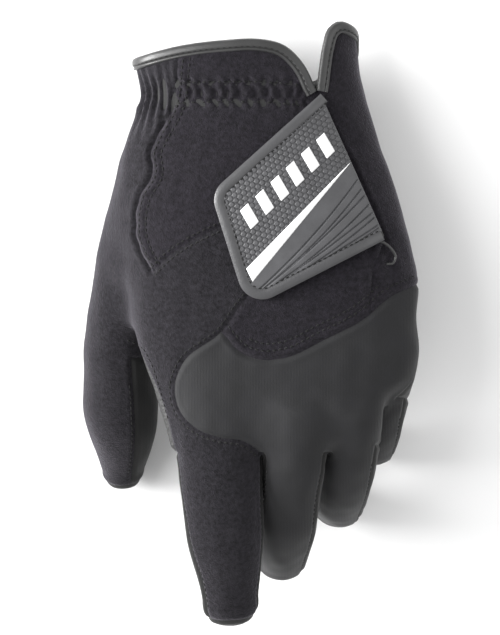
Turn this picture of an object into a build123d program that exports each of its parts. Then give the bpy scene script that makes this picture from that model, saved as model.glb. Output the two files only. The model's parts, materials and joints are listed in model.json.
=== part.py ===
from build123d import *
import os
from math import cos, degrees, radians, sin, sqrt

# Golf glove for the left hand, lying palm down as if filled by a relaxed hand.
# Row frame: +X to the little-finger side, +Y to the wrist, +Z up, millimetres.
# Hand frame (plane HAND): u across to the little finger, v to the wrist, w out of the back of the hand.

os.makedirs("parts", exist_ok=True)

# ---- Driving dimensions ----
TILT = 15.0                # the hand's plane drops towards the wrist, degrees
ORIGIN_X = 0.15            # hand-frame origin in the row frame: the web between middle and ring finger
ORIGIN_Y = -39.42
ORIGIN_Z = 55.87
SKIN = 0.6                 # thickness of leather and stretch panels
POWER = 2.4                # superellipse power of the hand's sections
FINGER_POWER = 2.2         # and of the finger stalls' sections
PALM_SPLIT = (-9.0, 0.10)  # height of the side seam, w = first + second * u
REACH = 90.0               # half length of cutting solids, and how far they reach sideways
BEYOND = 200.0             # v past the cuff, for cutting solids
BELOW = -60.0              # v past the fingers' roots, for cutting solids
OVAL_POINTS = 16           # points of a section's outline
STRIP_SPANS = 6            # spans of a strip's edge, round its section
BINDING_WIDTH = 4.5
BINDING_PROUD = 0.6        # binding stands this much out of the skin, each face
SEAM_ANGLE = 0.8           # half gap between the strips of a stall, degrees

# Sections of the palm: v, centre u, centre w, half width, half height
PALM = [
    (158, -1.5, 0.0, 40.0, 18.0),
    (140, -1.5, 0.0, 41.0, 18.0),
    (125, 1.0, 0.0, 41.5, 17.2),
    (108, 1.2, 0.0, 46.5, 17.5),
    (85, 4.5, 0.0, 51.5, 18.5),
    (60, 8.5, -0.5, 53.0, 18.0),
    (34, 9.5, -1.5, 51.5, 16.5),
    (10, 12.5, -2.5, 45.5, 14.0),
    (-8, 13.5, -3.2, 41.0, 11.8),
]
# Sections of the thumb's base: v, centre u, centre w, half width, half height
THUMB_BASE = [
    (118, -24.0, -5.0, 13.5, 11.5),
    (95, -33.0, -9.5, 16.5, 14.5),
    (73, -40.0, -15.0, 15.8, 15.5),
    (51, -46.5, -22.0, 14.6, 14.5),
    (30, -49.5, -28.0, 13.5, 13.0),
]
# Sections of the little finger's base, which stands below the palm's edge
LITTLE_BASE = [
    (46, 53.0, 3.0, 8.5, 8.5),
    (31, 53.6, -4.5, 8.6, 9.6),
    (16, 53.9, -13.0, 8.0, 10.4),
]

# Steps of the hand's edge, where the thumb and the fingers start: u and v
ROOT_STEPS = [(-REACH, 30), (-36, 30), (-36, -5), (28.3, -5), (28.3, 0), (46.3, 0), (46.3, 16), (REACH, 16)]

# Finger stalls. root: centre line's start; cut: v of the hand's edge there; lean: sideways, degrees;
# slope: of the centre line below the hand's plane at the root and at the tip, degrees;
# half_width, half_height: at the root, the middle and near the tip; seams: angles that part the strips
FINGERS = {
    "index": dict(root=(-13.0, 0.0, -1.0), cut=-5.0, lean=3.5, length=72.5, slope=(4, 24),
                  half_width=(14.5, 13.0, 9.5), half_height=(12.0, 10.5, 8.5), seams=(20, 140, 215, 325)),
    "middle": dict(root=(17.0, 0.0, -1.0), cut=-5.0, lean=-4.0, length=76.0, slope=(17, 76),
                   half_width=(11.0, 10.3, 8.5), half_height=(12.0, 10.5, 8.5), seams=(30, 150, 215, 325)),
    "ring": dict(root=(37.2, 4.0, -3.0), cut=0.0, lean=-3.0, length=72.0, slope=(33, 94),
                 half_width=(8.5, 8.2, 7.0), half_height=(11.5, 10.0, 8.0), seams=(30, 150, 215, 325)),
    "little": dict(root=(54.3, 20.0, -10.0), cut=16.0, lean=-3.0, length=57.0, slope=(36, 90),
                   half_width=(7.7, 7.2, 6.2), half_height=(10.5, 9.0, 7.5), seams=(30, 150, 215, 325)),
    "thumb": dict(root=(-49.5, 30.0, -28.0), cut=30.0, lean=2.0, length=57.0, slope=(24, 38),
                  half_width=(13.5, 13.0, 8.0), half_height=(13.0, 12.0, 8.0), seams=(68, 200, 300)),
}
STATIONS = (0.16, 0.32, 0.46, 0.58, 0.68, 0.77, 0.85, 0.91, 0.95, 0.98, 0.995)   # parts of a stall's length
SWING_BACK = 16.0          # room for a stall to swing up, degrees
ROOT_GAP = 0.5             # between a stall and the hand, at the hinge
FIRST_SPAN = 2.0           # least length of a stall's first span, along its underside
MIDDLE_PART = 0.5          # where along a stall its middle sizes hold
TIP_PART = 0.85            # and its tip sizes
CAP_LENGTH = 1.2           # length of the rounded tip, parts of its half height
TIP_RADIUS = 1.4           # least half width of a section, where the stall closes

# Cuff edge of the back, thumb side, from the thumb side to the slit
CUFF_BACK = [
    (-60, 134), (-41.6, 139), (-28, 143.7), (-8.5, 146.7), (3.3, 147), (12.4, 144.5), (20, 137), (24.5, 127)
]
# Cuff edge of the little-finger side's back piece, from the slit up and over
CUFF_ULNAR = [(24.5, 127), (26, 143), (29, 150.6), (33, 153.5), (37, 152.4), (41, 148), (60, 145)]
ULNAR_BINDING_START = (25.5, 122)      # inner edge of that piece's binding, at the slit
ULNAR_BINDING_END = (64, 140.5)        # and at its outer side
ULNAR_LEAN = 0.8           # sideways part of that binding's width
PALM_CUFF = 137.0          # v of the cuff's edge on the palm side
SLIT_LINE = [(24.5, 127), (32.6, 110), (37.7, 100.6), (50, 73)]       # root of the tab
WRIST_SEAM = [(-26, 150), (-28.9, 121.4), (-36.5, 103), (-42.2, 87), (-42.2, 73.3), (-37, 61)]
WRIST_FRONT_SEAM = [(-37, 61), (-25, 70.3), (-10.7, 77.7), (12, 90), (39, 98)]
INDEX_SEAM = [
    (47, 79), (20, 68), (-2.6, 50), (-10.7, 38.9), (-25.2, 27), (-28, 17), (-20.7, 3.7), (-2.6, -1.5),
    (3.5, -12),
]
KNUCKLE_SIDE = -34.0       # u left of the knuckle panel
ULNAR_FOLD = (44, 46)      # where the little-finger side's seam meets the knuckle panel
KNUCKLE_SEAM = [(-10.7, 38.5), (-2.6, 30.7), (12.6, 29.2), (42.6, 44), (70, 59)]

# Tab: corners in the hand frame, from the wrist end of its root, round its free end
TAB_ROOT_WRIST = (26, 126.5)
TAB_TIP_WRIST = (-14.5, 90)
TAB_TIP_FRONT = (-0.9, 47)
TAB_ROOT_FRONT = (50, 73)
TAB_CORNER = 9.0
TAB_BINDING = 3.8
# Layers of the tab, heights above the skin: start and end of each
LOOP_LAYER = (0.0, 0.7)
HOOK_LAYER = (1.1, 1.7)
LEATHER_LAYER = (1.7, 2.6)
BADGE_LAYER = (2.6, 3.5)
INLAY_LAYER = (3.5, 3.9)
BINDING_LAYER = (1.5, 3.8)
SLACK = 0.1                # between the tab's face and its binding
LEATHER_INSET = 1.0        # the tab's leather ends this far inside its binding
STRIPE = [(-1.4, 62.1), (38.0, 102.4), (1.0, 57.4)]
HOOK_ZONE = [(0, 86), (8, 66), (36, 80), (26, 104)]
LOOP_ZONE = [(-2, 84), (8, 62), (38, 78), (26, 108)]
MARK_COUNT = 6             # plain slanted bars
MARK_START = (0.3, 76.6)
MARK_STEP = (5.6, 5.2)
MARK_SHAPE = [(0, 0), (3.0, 2.8), (-1.0, 9.6), (-4.0, 6.8)]

LINING = 0.6               # thickness of the pieces sewn inside
ELASTIC_ZONE = [(-34, 120), (19, 120), (19, 133), (-34, 133)]
GUSSET_ZONE = [(22, 121), (29, 121), (50, 78), (42, 78)]
LABEL_ZONE = [(-8, 118), (8, 118), (8, 130), (-8, 130)]
HEEL_EDGE = [(-18, 114), (-2, 102), (18, 108), (30, 124)]      # curved edge of the palm's patch
HEEL_TOP = [(30, 130), (-18, 130)]
TAIL_PLACE = (53.0, 70.0, 11.3)
TAIL_START = (-2.5, 1.3)
TAIL_MIDDLE = (0.8, 2.2)
TAIL_END = (3.0, -1.6)
TAIL_THICK = 1.0
TAIL_WIDTH = 3.5

HAND = Plane(
    origin=(ORIGIN_X, ORIGIN_Y, ORIGIN_Z),
    x_dir=(1, 0, 0),
    z_dir=(0, sin(radians(TILT)), cos(radians(TILT))),
)


def place(u, v, w):
    """Row-frame point of a hand-frame point."""
    return HAND.from_local_coords(Vector(u, v, w))


def direction(u, v, w):
    """Row-frame direction of a hand-frame direction."""
    return place(u, v, w) - place(0, 0, 0)


def section_plane(u, v, w, tilt=0.0, lean=0.0):
    """Plane across the hand or a finger: x towards the little finger, y towards the back of the hand."""
    across = direction(cos(radians(lean)), sin(radians(lean)), 0)
    ahead = direction(
        sin(radians(lean)) * cos(radians(tilt)), -cos(radians(lean)) * cos(radians(tilt)), -sin(radians(tilt))
    )
    return Plane(origin=place(u, v, w), x_dir=across, z_dir=ahead)


def rim(half_width, half_height, power, angle):
    """Point of a superellipse at a given angle."""
    x, y = cos(radians(angle)), sin(radians(angle))
    reach = (abs(x / half_width) ** power + abs(y / half_height) ** power) ** (-1 / power)
    return (x * reach, y * reach)


def oval(half_width, half_height, power=POWER):
    """Closed superellipse line, for use in a line builder."""
    turn = 360 / OVAL_POINTS
    Spline([rim(half_width, half_height, power, turn * step) for step in range(OVAL_POINTS)], periodic=True)


def tube(sections, grow):
    """Solid loft through sections (v, u, w, half width, half height), each grown all round."""
    with BuildPart() as solid:
        for v, u, w, half_width, half_height in sections:
            with BuildSketch(section_plane(u, v, w)):
                with BuildLine():
                    oval(half_width + grow, half_height + grow)
                make_face()
        loft()
    return solid.part


def palm_layer(start, end):
    """Shell of the palm's tube between two heights above the skin."""
    with BuildPart() as layer:
        add(tube(PALM, end))
        add(tube(PALM, start), mode=Mode.SUBTRACT)
    return layer.part


def hand_solid(grow):
    """Palm, thumb base and little-finger base in one solid."""
    with BuildPart() as solid:
        add(tube(PALM, grow))
        add(tube(THUMB_BASE, grow))
        add(tube(LITTLE_BASE, grow))
    return solid.part


def column(points, ends=(), base=-REACH, height=2 * REACH):
    """Prism square to the hand's plane: a smooth curve, closed by straight runs through ends."""
    with BuildPart() as prism:
        with BuildSketch(HAND.offset(base)):
            with BuildLine():
                curve = Spline(points) if len(points) > 2 else Line(points)
                Polyline([curve @ 1, *ends, curve @ 0])
            make_face()
        extrude(amount=height)
    return prism.part


def polygon_column(corners, base=-REACH, height=2 * REACH):
    """Prism square to the hand's plane, with straight sides."""
    with BuildPart() as prism:
        with BuildSketch(HAND.offset(base)):
            with BuildLine():
                Polyline(corners, close=True)
            make_face()
        extrude(amount=height)
    return prism.part


def both(solid, *limits):
    """What a solid shares with every limit."""
    with BuildPart() as shared:
        add(solid)
        for limit in limits:
            add(limit, mode=Mode.INTERSECT)
    return shared.part


def less(solid, *cutters):
    """What is left of a solid after each cutter."""
    with BuildPart() as rest:
        add(solid)
        for cutter in cutters:
            add(cutter, mode=Mode.SUBTRACT)
    return rest.part


def largest(part):
    """The largest solid of a part."""
    return part.solids().sort_by(SortBy.VOLUME)[-1]


def write(part, name):
    """Label one finished piece and write it."""
    part.label = name
    export_step(part, f"parts/{name}.step")


# ---- Hand: one shell, parted into panels ----
hand_shell = less(hand_solid(0), hand_solid(-SKIN))

# The fingers' and thumb's roots are open: everything beyond these steps is cut away
hand_shell = less(hand_shell, polygon_column([*ROOT_STEPS, (REACH, BELOW), (-REACH, BELOW)]))

# Side seam: a plane that rises to the little-finger side
split_height, split_rise = PALM_SPLIT
with BuildPart() as palm_side:
    with BuildSketch(section_plane(0, BEYOND, 0)):
        with BuildLine():
            Polyline(
                [
                    (-REACH, split_height - split_rise * REACH),
                    (REACH, split_height + split_rise * REACH),
                    (REACH, -REACH),
                    (-REACH, -REACH),
                ],
                close=True,
            )
        make_face()
    extrude(amount=BEYOND + REACH)
palm_half = both(hand_shell, palm_side.part)
back_half = less(hand_shell, palm_side.part)

# Cuff: the skin stops where the binding starts
def lowered(points, step):
    """Curve moved towards the fingers."""
    return [(u, v - step) for u, v in points]


def above(edge):
    """Column of everything beyond a level edge."""
    return polygon_column([(-REACH, edge), (REACH, edge), (REACH, BEYOND), (-REACH, BEYOND)])


slit_u, slit_v = CUFF_BACK[-1]
back_side, ulnar_side = CUFF_BACK[0][0], CUFF_ULNAR[-1][0]
above_back_cuff = column(CUFF_BACK, [(slit_u, BEYOND), (back_side, BEYOND)])
above_back_binding = column(lowered(CUFF_BACK, BINDING_WIDTH), [(slit_u, BEYOND), (back_side, BEYOND)])
ulnar_shift = BINDING_WIDTH * ULNAR_LEAN
ulnar_inset = [(u + ulnar_shift, v - BINDING_WIDTH) for u, v in CUFF_ULNAR[1:-1]]
ulnar_inset = [ULNAR_BINDING_START] + ulnar_inset + [ULNAR_BINDING_END]
above_ulnar_cuff = column(CUFF_ULNAR, [(ulnar_side, BEYOND), (slit_u, BEYOND)])
above_ulnar_binding = column(
    ulnar_inset,
    [
        (ULNAR_BINDING_END[0], BEYOND), (slit_u - BINDING_WIDTH, BEYOND),
        (slit_u - BINDING_WIDTH, ULNAR_BINDING_START[1]),
    ],
)
above_palm_cuff = above(PALM_CUFF)
above_palm_binding = above(PALM_CUFF - BINDING_WIDTH)

# Regions of the back, square to the hand's plane
fold_u, fold_v = ULNAR_FOLD
ulnar_region = column(
    SLIT_LINE, [ULNAR_FOLD, (fold_u, BELOW), (REACH, BELOW), (REACH, BEYOND), (slit_u, BEYOND)]
)
(seam_u, seam_v), (corner_u, corner_v) = WRIST_SEAM[0], WRIST_SEAM[-1]
end_u, end_v = WRIST_FRONT_SEAM[-1]
wrist_region = both(
    column(WRIST_SEAM, [(REACH, corner_v), (REACH, seam_v)]),
    column(WRIST_FRONT_SEAM, [(REACH, end_v), (REACH, BEYOND), (-REACH, BEYOND), (-REACH, corner_v)]),
)
index_top, index_end = INDEX_SEAM[0], INDEX_SEAM[-1]
index_region = column(INDEX_SEAM, [(-REACH, index_end[1]), (-REACH, BEYOND), (index_top[0], BEYOND)])
knuckle_left, knuckle_right = KNUCKLE_SEAM[0], KNUCKLE_SEAM[-1]
knuckle_region = less(
    column(
        KNUCKLE_SEAM,
        [(REACH, knuckle_right[1]), (REACH, BELOW), (KNUCKLE_SIDE, BELOW), (KNUCKLE_SIDE, knuckle_left[1])],
    ),
    column(INDEX_SEAM, [(-REACH, index_end[1]), (-REACH, index_top[1])]),
)

knuckle_panel = both(back_half, knuckle_region)
above_knuckles = less(back_half, knuckle_region)
ulnar_back_panel = less(both(above_knuckles, ulnar_region), above_ulnar_binding)
thumb_side = less(above_knuckles, ulnar_region, above_back_binding)
wrist_back_panel = both(thumb_side, wrist_region)
below_wrist = less(thumb_side, wrist_region)
index_back_panel = both(below_wrist, index_region)
mid_back_panel = less(below_wrist, index_region)
palm_panel = less(palm_half, above_palm_binding)

hand_panels = {
    "knuckle_panel": knuckle_panel,
    "ulnar_back_panel": ulnar_back_panel,
    "wrist_back_panel": wrist_back_panel,
    "index_back_panel": index_back_panel,
    "mid_back_panel": mid_back_panel,
    "palm_panel": palm_panel,
}
for name, panel in hand_panels.items():
    write(Part([largest(panel)]), name)

# ---- Cuff: the binding wraps the skin's edge, in three runs ----
binding_shell = palm_layer(-SKIN - BINDING_PROUD, BINDING_PROUD)
binding_back_half = less(binding_shell, palm_side.part)
cuff_binding_back = both(less(binding_back_half, ulnar_region, above_back_cuff), above_back_binding)
cuff_binding_ulnar = both(less(both(binding_back_half, ulnar_region), above_ulnar_cuff), above_ulnar_binding)
cuff_binding_palm = less(both(binding_shell, palm_side.part, above_palm_binding), above_palm_cuff)
write(Part([largest(cuff_binding_back)]), "cuff_binding_back")
write(Part([largest(cuff_binding_ulnar)]), "cuff_binding_ulnar")
write(Part([largest(cuff_binding_palm)]), "cuff_binding_palm")

# ---- Inside: elastic band, slit gusset, palm patch and size label ----
lining_shell = palm_layer(-SKIN - LINING, -SKIN)
elastic_zone = polygon_column(ELASTIC_ZONE, base=0)
gusset_zone = polygon_column(GUSSET_ZONE, base=0)
label_zone = polygon_column(LABEL_ZONE, height=REACH)
heel_zone = column(HEEL_EDGE, HEEL_TOP, height=REACH)
wrist_elastic = both(lining_shell, elastic_zone)
slit_gusset = both(lining_shell, gusset_zone)
size_label = both(lining_shell, label_zone)
palm_heel_patch = both(palm_layer(0, LINING), heel_zone)
for name, piece in {
    "wrist_elastic": wrist_elastic,
    "slit_gusset": slit_gusset,
    "size_label": size_label,
    "palm_heel_patch": palm_heel_patch,
}.items():
    write(Part([largest(piece)]), name)


# ---- Tab: layers that follow the back of the hand, parted by outlines square to it ----
def tab_outline(inset):
    """Column of the tab's outline, moved in by a margin on its three free sides."""
    root_wrist, tip_wrist = Vector(*TAB_ROOT_WRIST), Vector(*TAB_TIP_WRIST)
    root_front, tip_front = Vector(*TAB_ROOT_FRONT), Vector(*TAB_TIP_FRONT)
    outward = (root_front - root_wrist).normalized().rotate(Axis.Z, 90)
    wrist_side = (root_wrist - tip_wrist).normalized()
    front_side = (root_front - tip_front).normalized()
    root_wrist += wrist_side * (inset / wrist_side.dot(outward))
    root_front += front_side * (inset / front_side.dot(outward))
    with BuildPart() as prism:
        with BuildSketch(HAND):
            with BuildLine():
                Polyline([root_front, tip_front, tip_wrist, root_wrist], close=True)
            make_face()
            fillet(vertices().sort_by(Axis.X)[:2], radius=TAB_CORNER)
            if inset:
                offset(amount=-inset, mode=Mode.REPLACE)
        extrude(amount=REACH)
    return prism.part


tab_column = tab_outline(0)
face_column = tab_outline(TAB_BINDING + SLACK)
stripe_column = polygon_column(STRIPE, base=0)
hook_column = polygon_column(HOOK_ZONE, base=0)
loop_column = polygon_column(LOOP_ZONE, base=0)

tab_base = both(palm_layer(*LEATHER_LAYER), tab_outline(LEATHER_INSET))
badge_layer = both(palm_layer(*BADGE_LAYER), face_column)
inlay_layer = both(palm_layer(*INLAY_LAYER), face_column)
hook_patch = both(palm_layer(*HOOK_LAYER), hook_column)
loop_patch = both(palm_layer(*LOOP_LAYER), loop_column)
tab_stripe = both(inlay_layer, stripe_column)
mark_columns = []
for step in range(MARK_COUNT):
    u, v = MARK_START[0] + MARK_STEP[0] * step, MARK_START[1] + MARK_STEP[1] * step
    mark_columns.append(polygon_column([(u + x, v + y) for x, y in MARK_SHAPE], base=0))
tab_marks = Part([solid for mark in mark_columns for solid in both(inlay_layer, mark).solids()])
tab_binding = less(both(palm_layer(*BINDING_LAYER), tab_column), tab_outline(TAB_BINDING), tab_base)

with BuildPart() as binding_tail:
    with BuildSketch(section_plane(*TAIL_PLACE)):
        with BuildLine():
            ThreePointArc(TAIL_START, TAIL_MIDDLE, TAIL_END)
            offset(amount=TAIL_THICK / 2, side=Side.BOTH)
        make_face()
    extrude(amount=TAIL_WIDTH)

for name, piece in {
    "tab_base": tab_base,
    "tab_badge": badge_layer,
    "tab_stripe": tab_stripe,
    "hook_patch": hook_patch,
    "loop_patch": loop_patch,
    "tab_binding": tab_binding,
}.items():
    write(Part([largest(piece)]), name)
write(tab_marks, "tab_marks")
write(binding_tail.part, "binding_tail")


# ---- Stalls: strips lofted along a centre line that is an arc ----
def centre_point(finger, along, up=0.0):
    """Hand-frame point at a distance along a stall's centre line, moved up by a step, and the slope there."""
    low, high = (radians(slope) for slope in finger["slope"])
    radius = finger["length"] / (high - low)
    slope = low + along / radius
    ahead = radius * (sin(slope) - sin(low)) + up * sin(slope)
    down = radius * (cos(slope) - cos(low)) + up * cos(slope)
    u, v, w = finger["root"]
    lean = radians(finger["lean"])
    return (u + ahead * sin(lean), v - ahead * cos(lean), w + down), degrees(slope)


def between(values, part):
    """Value at a part of the length, from values at 0, the middle and near the tip."""
    first, middle, last = values
    if part < MIDDLE_PART:
        return first + (middle - first) * part / MIDDLE_PART
    return middle + (last - middle) * min(1, (part - MIDDLE_PART) / (TIP_PART - MIDDLE_PART))


def stall_sections(finger):
    """Plane, half width and half height of each section of a stall, from its hinge to its tip."""
    u, v, w = finger["root"]
    half_width, half_height = finger["half_width"][0], finger["half_height"][0]
    hinge_v, hinge_w = hinge_place(finger)
    rise = half_height
    lean_back = radians(SWING_BACK)
    first = (u, hinge_v - ROOT_GAP - rise * sin(lean_back), hinge_w + rise * cos(lean_back))
    sections = [(section_plane(*first, SWING_BACK, finger["lean"]), half_width, half_height)]
    cap = CAP_LENGTH * finger["half_height"][2]
    for part in STATIONS:
        along = part * finger["length"]
        point, slope = centre_point(finger, along)
        underside_v = point[1] + between(finger["half_height"], part) * sin(radians(slope))
        if underside_v > hinge_v - FIRST_SPAN:
            continue
        beyond = max(0, along - (finger["length"] - cap)) / cap
        closing = sqrt(1 - beyond**2)
        sections.append(
            (
                section_plane(*point, slope, finger["lean"]),
                max(TIP_RADIUS, between(finger["half_width"], part) * closing),
                max(TIP_RADIUS, between(finger["half_height"], part) * closing),
            )
        )
    return sections


def hinge_place(finger):
    """(v, w) of a stall's hinge: at the hand's edge, on the palm side."""
    u, v, w = finger["root"]
    drop = (v - finger["cut"]) * sin(radians(finger["slope"][0]))
    return finger["cut"], w - drop - finger["half_height"][0]


def strip(finger, start, end):
    """One lengthwise strip of a stall, between two angles of its section."""
    with BuildPart() as piece:
        for plane, half_width, half_height in stall_sections(finger):
            with BuildSketch(plane):
                angles = [start + (end - start) * step / STRIP_SPANS for step in range(STRIP_SPANS + 1)]
                inner_width, inner_height = half_width - SKIN, half_height - SKIN
                with BuildLine():
                    outer = Spline([rim(half_width, half_height, FINGER_POWER, angle) for angle in angles])
                    inner = Spline([rim(inner_width, inner_height, FINGER_POWER, angle) for angle in angles])
                    Line(outer @ 0, inner @ 0)
                    Line(outer @ 1, inner @ 1)
                make_face()
        loft(ruled=True)
    return piece.part


STRIP_NAMES = ("back", "radial_strip", "palm", "ulnar_strip")
for finger_name, finger in FINGERS.items():
    seams = finger["seams"]
    names = STRIP_NAMES if len(seams) == 4 else ("back", "palm", "inner_strip")
    for number, strip_name in enumerate(names):
        start = seams[number]
        end = seams[(number + 1) % len(seams)]
        end += 360 if end < start else 0
        write(strip(finger, start + SEAM_ANGLE, end - SEAM_ANGLE), f"{finger_name}_{strip_name}")
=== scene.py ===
"""A left-hand golf glove around its CAD frame: sewn panels, a bound cuff and a moulded closing tab."""
import json
import math

import bmesh
import bpy
import numpy as np
import openvdb
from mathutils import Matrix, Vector
from mathutils.bvhtree import BVHTree
from mathutils.kdtree import KDTree


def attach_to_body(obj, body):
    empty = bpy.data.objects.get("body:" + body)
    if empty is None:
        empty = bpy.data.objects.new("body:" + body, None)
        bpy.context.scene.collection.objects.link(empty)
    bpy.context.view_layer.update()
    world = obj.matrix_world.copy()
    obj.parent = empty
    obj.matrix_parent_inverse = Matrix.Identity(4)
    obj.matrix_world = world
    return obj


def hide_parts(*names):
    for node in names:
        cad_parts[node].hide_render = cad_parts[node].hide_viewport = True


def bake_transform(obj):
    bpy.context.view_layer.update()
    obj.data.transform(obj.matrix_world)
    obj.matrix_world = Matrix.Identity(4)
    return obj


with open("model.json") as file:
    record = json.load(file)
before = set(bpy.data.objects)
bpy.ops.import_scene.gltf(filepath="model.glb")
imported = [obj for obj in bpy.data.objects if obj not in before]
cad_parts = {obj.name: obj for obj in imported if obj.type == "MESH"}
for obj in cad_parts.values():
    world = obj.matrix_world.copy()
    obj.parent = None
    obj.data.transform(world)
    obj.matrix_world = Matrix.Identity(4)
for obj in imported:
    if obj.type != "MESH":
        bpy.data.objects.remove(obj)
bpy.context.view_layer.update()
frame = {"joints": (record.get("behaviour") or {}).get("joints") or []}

# ---------------------------------------------------------------------------------------------------
# Hand frame, in millimetres: u to the little finger, v to the wrist, w out of the back of the hand
# ---------------------------------------------------------------------------------------------------
MM = 0.001
TILT = math.radians(15)
JOINTS = {joint["name"]: joint for joint in frame["joints"]}
INDEX_HINGE = np.array([-13.0, -5.0, -13.349])     # the index finger's hinge, in the hand frame
AXES = np.array([
    [1, 0, 0],
    [0, math.cos(TILT), -math.sin(TILT)],
    [0, math.sin(TILT), math.cos(TILT)],
])
ORIGIN = np.array(JOINTS["index_bend"]["pos_m"]) / MM - INDEX_HINGE @ AXES


def to_row(points):
    """Row-frame metres of hand-frame millimetres."""
    return (np.asarray(points) @ AXES + ORIGIN) * MM


# Sections of the palm and of the thumb's base: v, centre u, centre w, half width, half height
PALM = np.array([
    (158, -1.5, 0.0, 40.5, 18.0),
    (140, -1.5, 0.0, 41.0, 18.0),
    (125, 1.2, 0.0, 41.5, 17.2),
    (108, 1.4, 0.0, 46.5, 17.5),
    (85, 4.5, 0.0, 51.3, 18.5),
    (60, 8.5, -0.5, 53.0, 18.0),
    (34, 9.7, -1.5, 51.5, 16.5),
    (10, 12.5, -2.5, 45.5, 14.0),
    (-6, 13.5, -3.0, 41.5, 12.0),
])[::-1]
THUMB_BASE = np.array([
    (118, -24.0, -5.0, 14.5, 12.0),
    (95, -33.0, -9.0, 16.5, 14.5),
    (73, -40.0, -14.5, 15.8, 15.5),
    (51, -46.2, -21.5, 14.2, 14.5),
    (30, -49.0, -27.8, 13.4, 13.0),
])[::-1]
PALM_POWER, BASE_POWER, STALL_POWER = 2.4, 2.1, 2.2
# Stalls: root of the centre line, sideways lean, length, slope at root and tip (degrees),
# how far its tube runs back into the hand, half widths and half heights at the root, the middle and
# near the tip, and the angles of the seams
STALLS = {
    "index": dict(root=(-12.0, 0.0, -1.0), lean=4.3, length=72.5, slope=(4, 24), back=28.0,
                  wide=(16.0, 14.3, 10.4), high=(12.0, 10.5, 8.5), seams=(18, 150, 215, 325)),
    "middle": dict(root=(17.3, 0.0, 0.0), lean=-7.0, length=75.0, slope=(17, 77), back=14.0,
                   wide=(12.4, 11.4, 9.4), high=(12.0, 10.5, 8.5), seams=(30, 150, 215, 325)),
    "ring": dict(root=(38.3, 4.0, -3.0), lean=-9.5, length=72.0, slope=(33, 93), back=11.0,
                 wide=(10.7, 10.3, 8.9), high=(11.5, 10.0, 8.0), seams=(30, 150, 215, 325)),
    "little": dict(root=(50.0, 20.0, -10.0), lean=-8.5, length=57.0, slope=(36, 90),
                   wide=(9.8, 9.0, 7.6), high=(10.5, 9.0, 7.5), back=19.0, seams=(30, 150, 215, 325)),
    "thumb": dict(root=(-49.0, 30.0, -27.8), lean=1.8, length=57.0, slope=(24, 38), back=5.0,
                  wide=(13.4, 13.3, 8.0), high=(13.0, 12.0, 8.0), seams=(68, 200, 300)),
}
WEB_LINE = np.array([(-40, -3.0), (3.0, -3.0), (31.0, 0.0), (42.0, 8.0), (53.0, 19.0), (70, 22.0)])
STALL_GAP = 1.0
OVERHANG = 0.45                  # each stall overhangs the next, so no light shows between them
MELT = {"index": 4.0, "middle": 5.0, "ring": 6.0, "little": 6.0, "thumb": 2.5}   # fillets at the roots

# Seams on the back, as (u, v)
SLIT_TOP = (24.5, 127)           # the notch between the two halves of the cuff
CUFF_BACK = [
    (-60, 135), (-41.6, 140.2), (-28, 143.7), (-8.5, 146.2), (3.3, 146.6), (12.4, 144.5), (20, 137), SLIT_TOP
]
CUFF_ULNAR = [
    SLIT_TOP, (25.6, 136), (27, 144.5), (29, 150.6), (33, 153.5), (37, 152.4), (41, 148.3), (60, 144)
]
SLIT_LINE = [SLIT_TOP, (32.6, 110), (37.7, 100.6), (50, 73)]
ULNAR_FOLD = [(50, 73), (46, 62), (44, 46), (43, 30)]
WRIST_SEAM = [
    (-25.6, 150), (-26.6, 137), (-28.9, 121.4), (-34.8, 110.6), (-37, 104.7), (-36.3, 98), (-41, 89),
    (-42.6, 80), (-42.2, 73.3), (-38.5, 64.4), (-36.3, 60.5)
]
WRIST_FRONT_SEAM = [(-36.3, 60.5), (-31, 66), (-25.2, 70.3), (-10.7, 77.7), (12, 88), (39, 98)]
INDEX_SEAM = [
    (47, 79), (20, 68), (-2.6, 50), (-10.7, 38.9), (-25.2, 27), (-28, 19.2), (-26.6, 10.4), (-20.7, 3.7),
    (-11.5, 0), (-2.6, -1.5), (3.3, -5.6), (8, -14)
]
KNUCKLE_SEAM = [
    (-10.7, 38.9), (-2.6, 30.7), (4.8, 28.5), (12.6, 29.2), (27.4, 35.9), (42.6, 44), (51.4, 51.4),
    (62.5, 56.6), (72, 61)
]
REACH = 90                       # u beyond either side of the hand, for closing off a region
BEYOND = 200                     # v beyond the cuff, for the same


def step_up(x, start, end):
    """0 before start, 1 after end."""
    t = np.clip((x - start) / (end - start), 0, 1)
    return t * t * (3 - 2 * t)


def smooth_value(x, table_x, table_y):
    """Cubic curve through a table, with end slopes level with their last span."""
    slopes = np.gradient(table_y, table_x)
    x = np.clip(x, table_x[0], table_x[-1])
    i = np.clip(np.searchsorted(table_x, x) - 1, 0, len(table_x) - 2)
    span = table_x[i + 1] - table_x[i]
    t = (x - table_x[i]) / span
    low, high = table_y[i], table_y[i + 1]
    a, b = slopes[i] * span, slopes[i + 1] * span
    return low + t * (a + t * (3 * (high - low) - 2 * a - b + t * (2 * (low - high) + a + b)))


def oval_distance(x, y, wide, high, power):
    """Roughly the distance to a superellipse, below 0 inside."""
    scale = ((np.abs(x) / wide) ** power + (np.abs(y) / high) ** power) ** (1 / power)
    scale = np.maximum(scale, 1e-6)
    outside = np.hypot(x, y) * (1 - 1 / scale)
    return np.where(scale < 0.3, -(1 - scale) * np.minimum(wide, high), outside)


def tube_field(points, sections, power):
    """Distance to a tube given by its sections along v."""
    v = points[..., 1]
    u0, w0, wide, high = (smooth_value(v, sections[:, 0], sections[:, i]) for i in (1, 2, 3, 4))
    side = oval_distance(points[..., 0] - u0, points[..., 2] - w0, wide, high, power)
    return np.maximum(side, np.maximum(sections[0, 0] - v, v - sections[-1, 0]))


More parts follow.
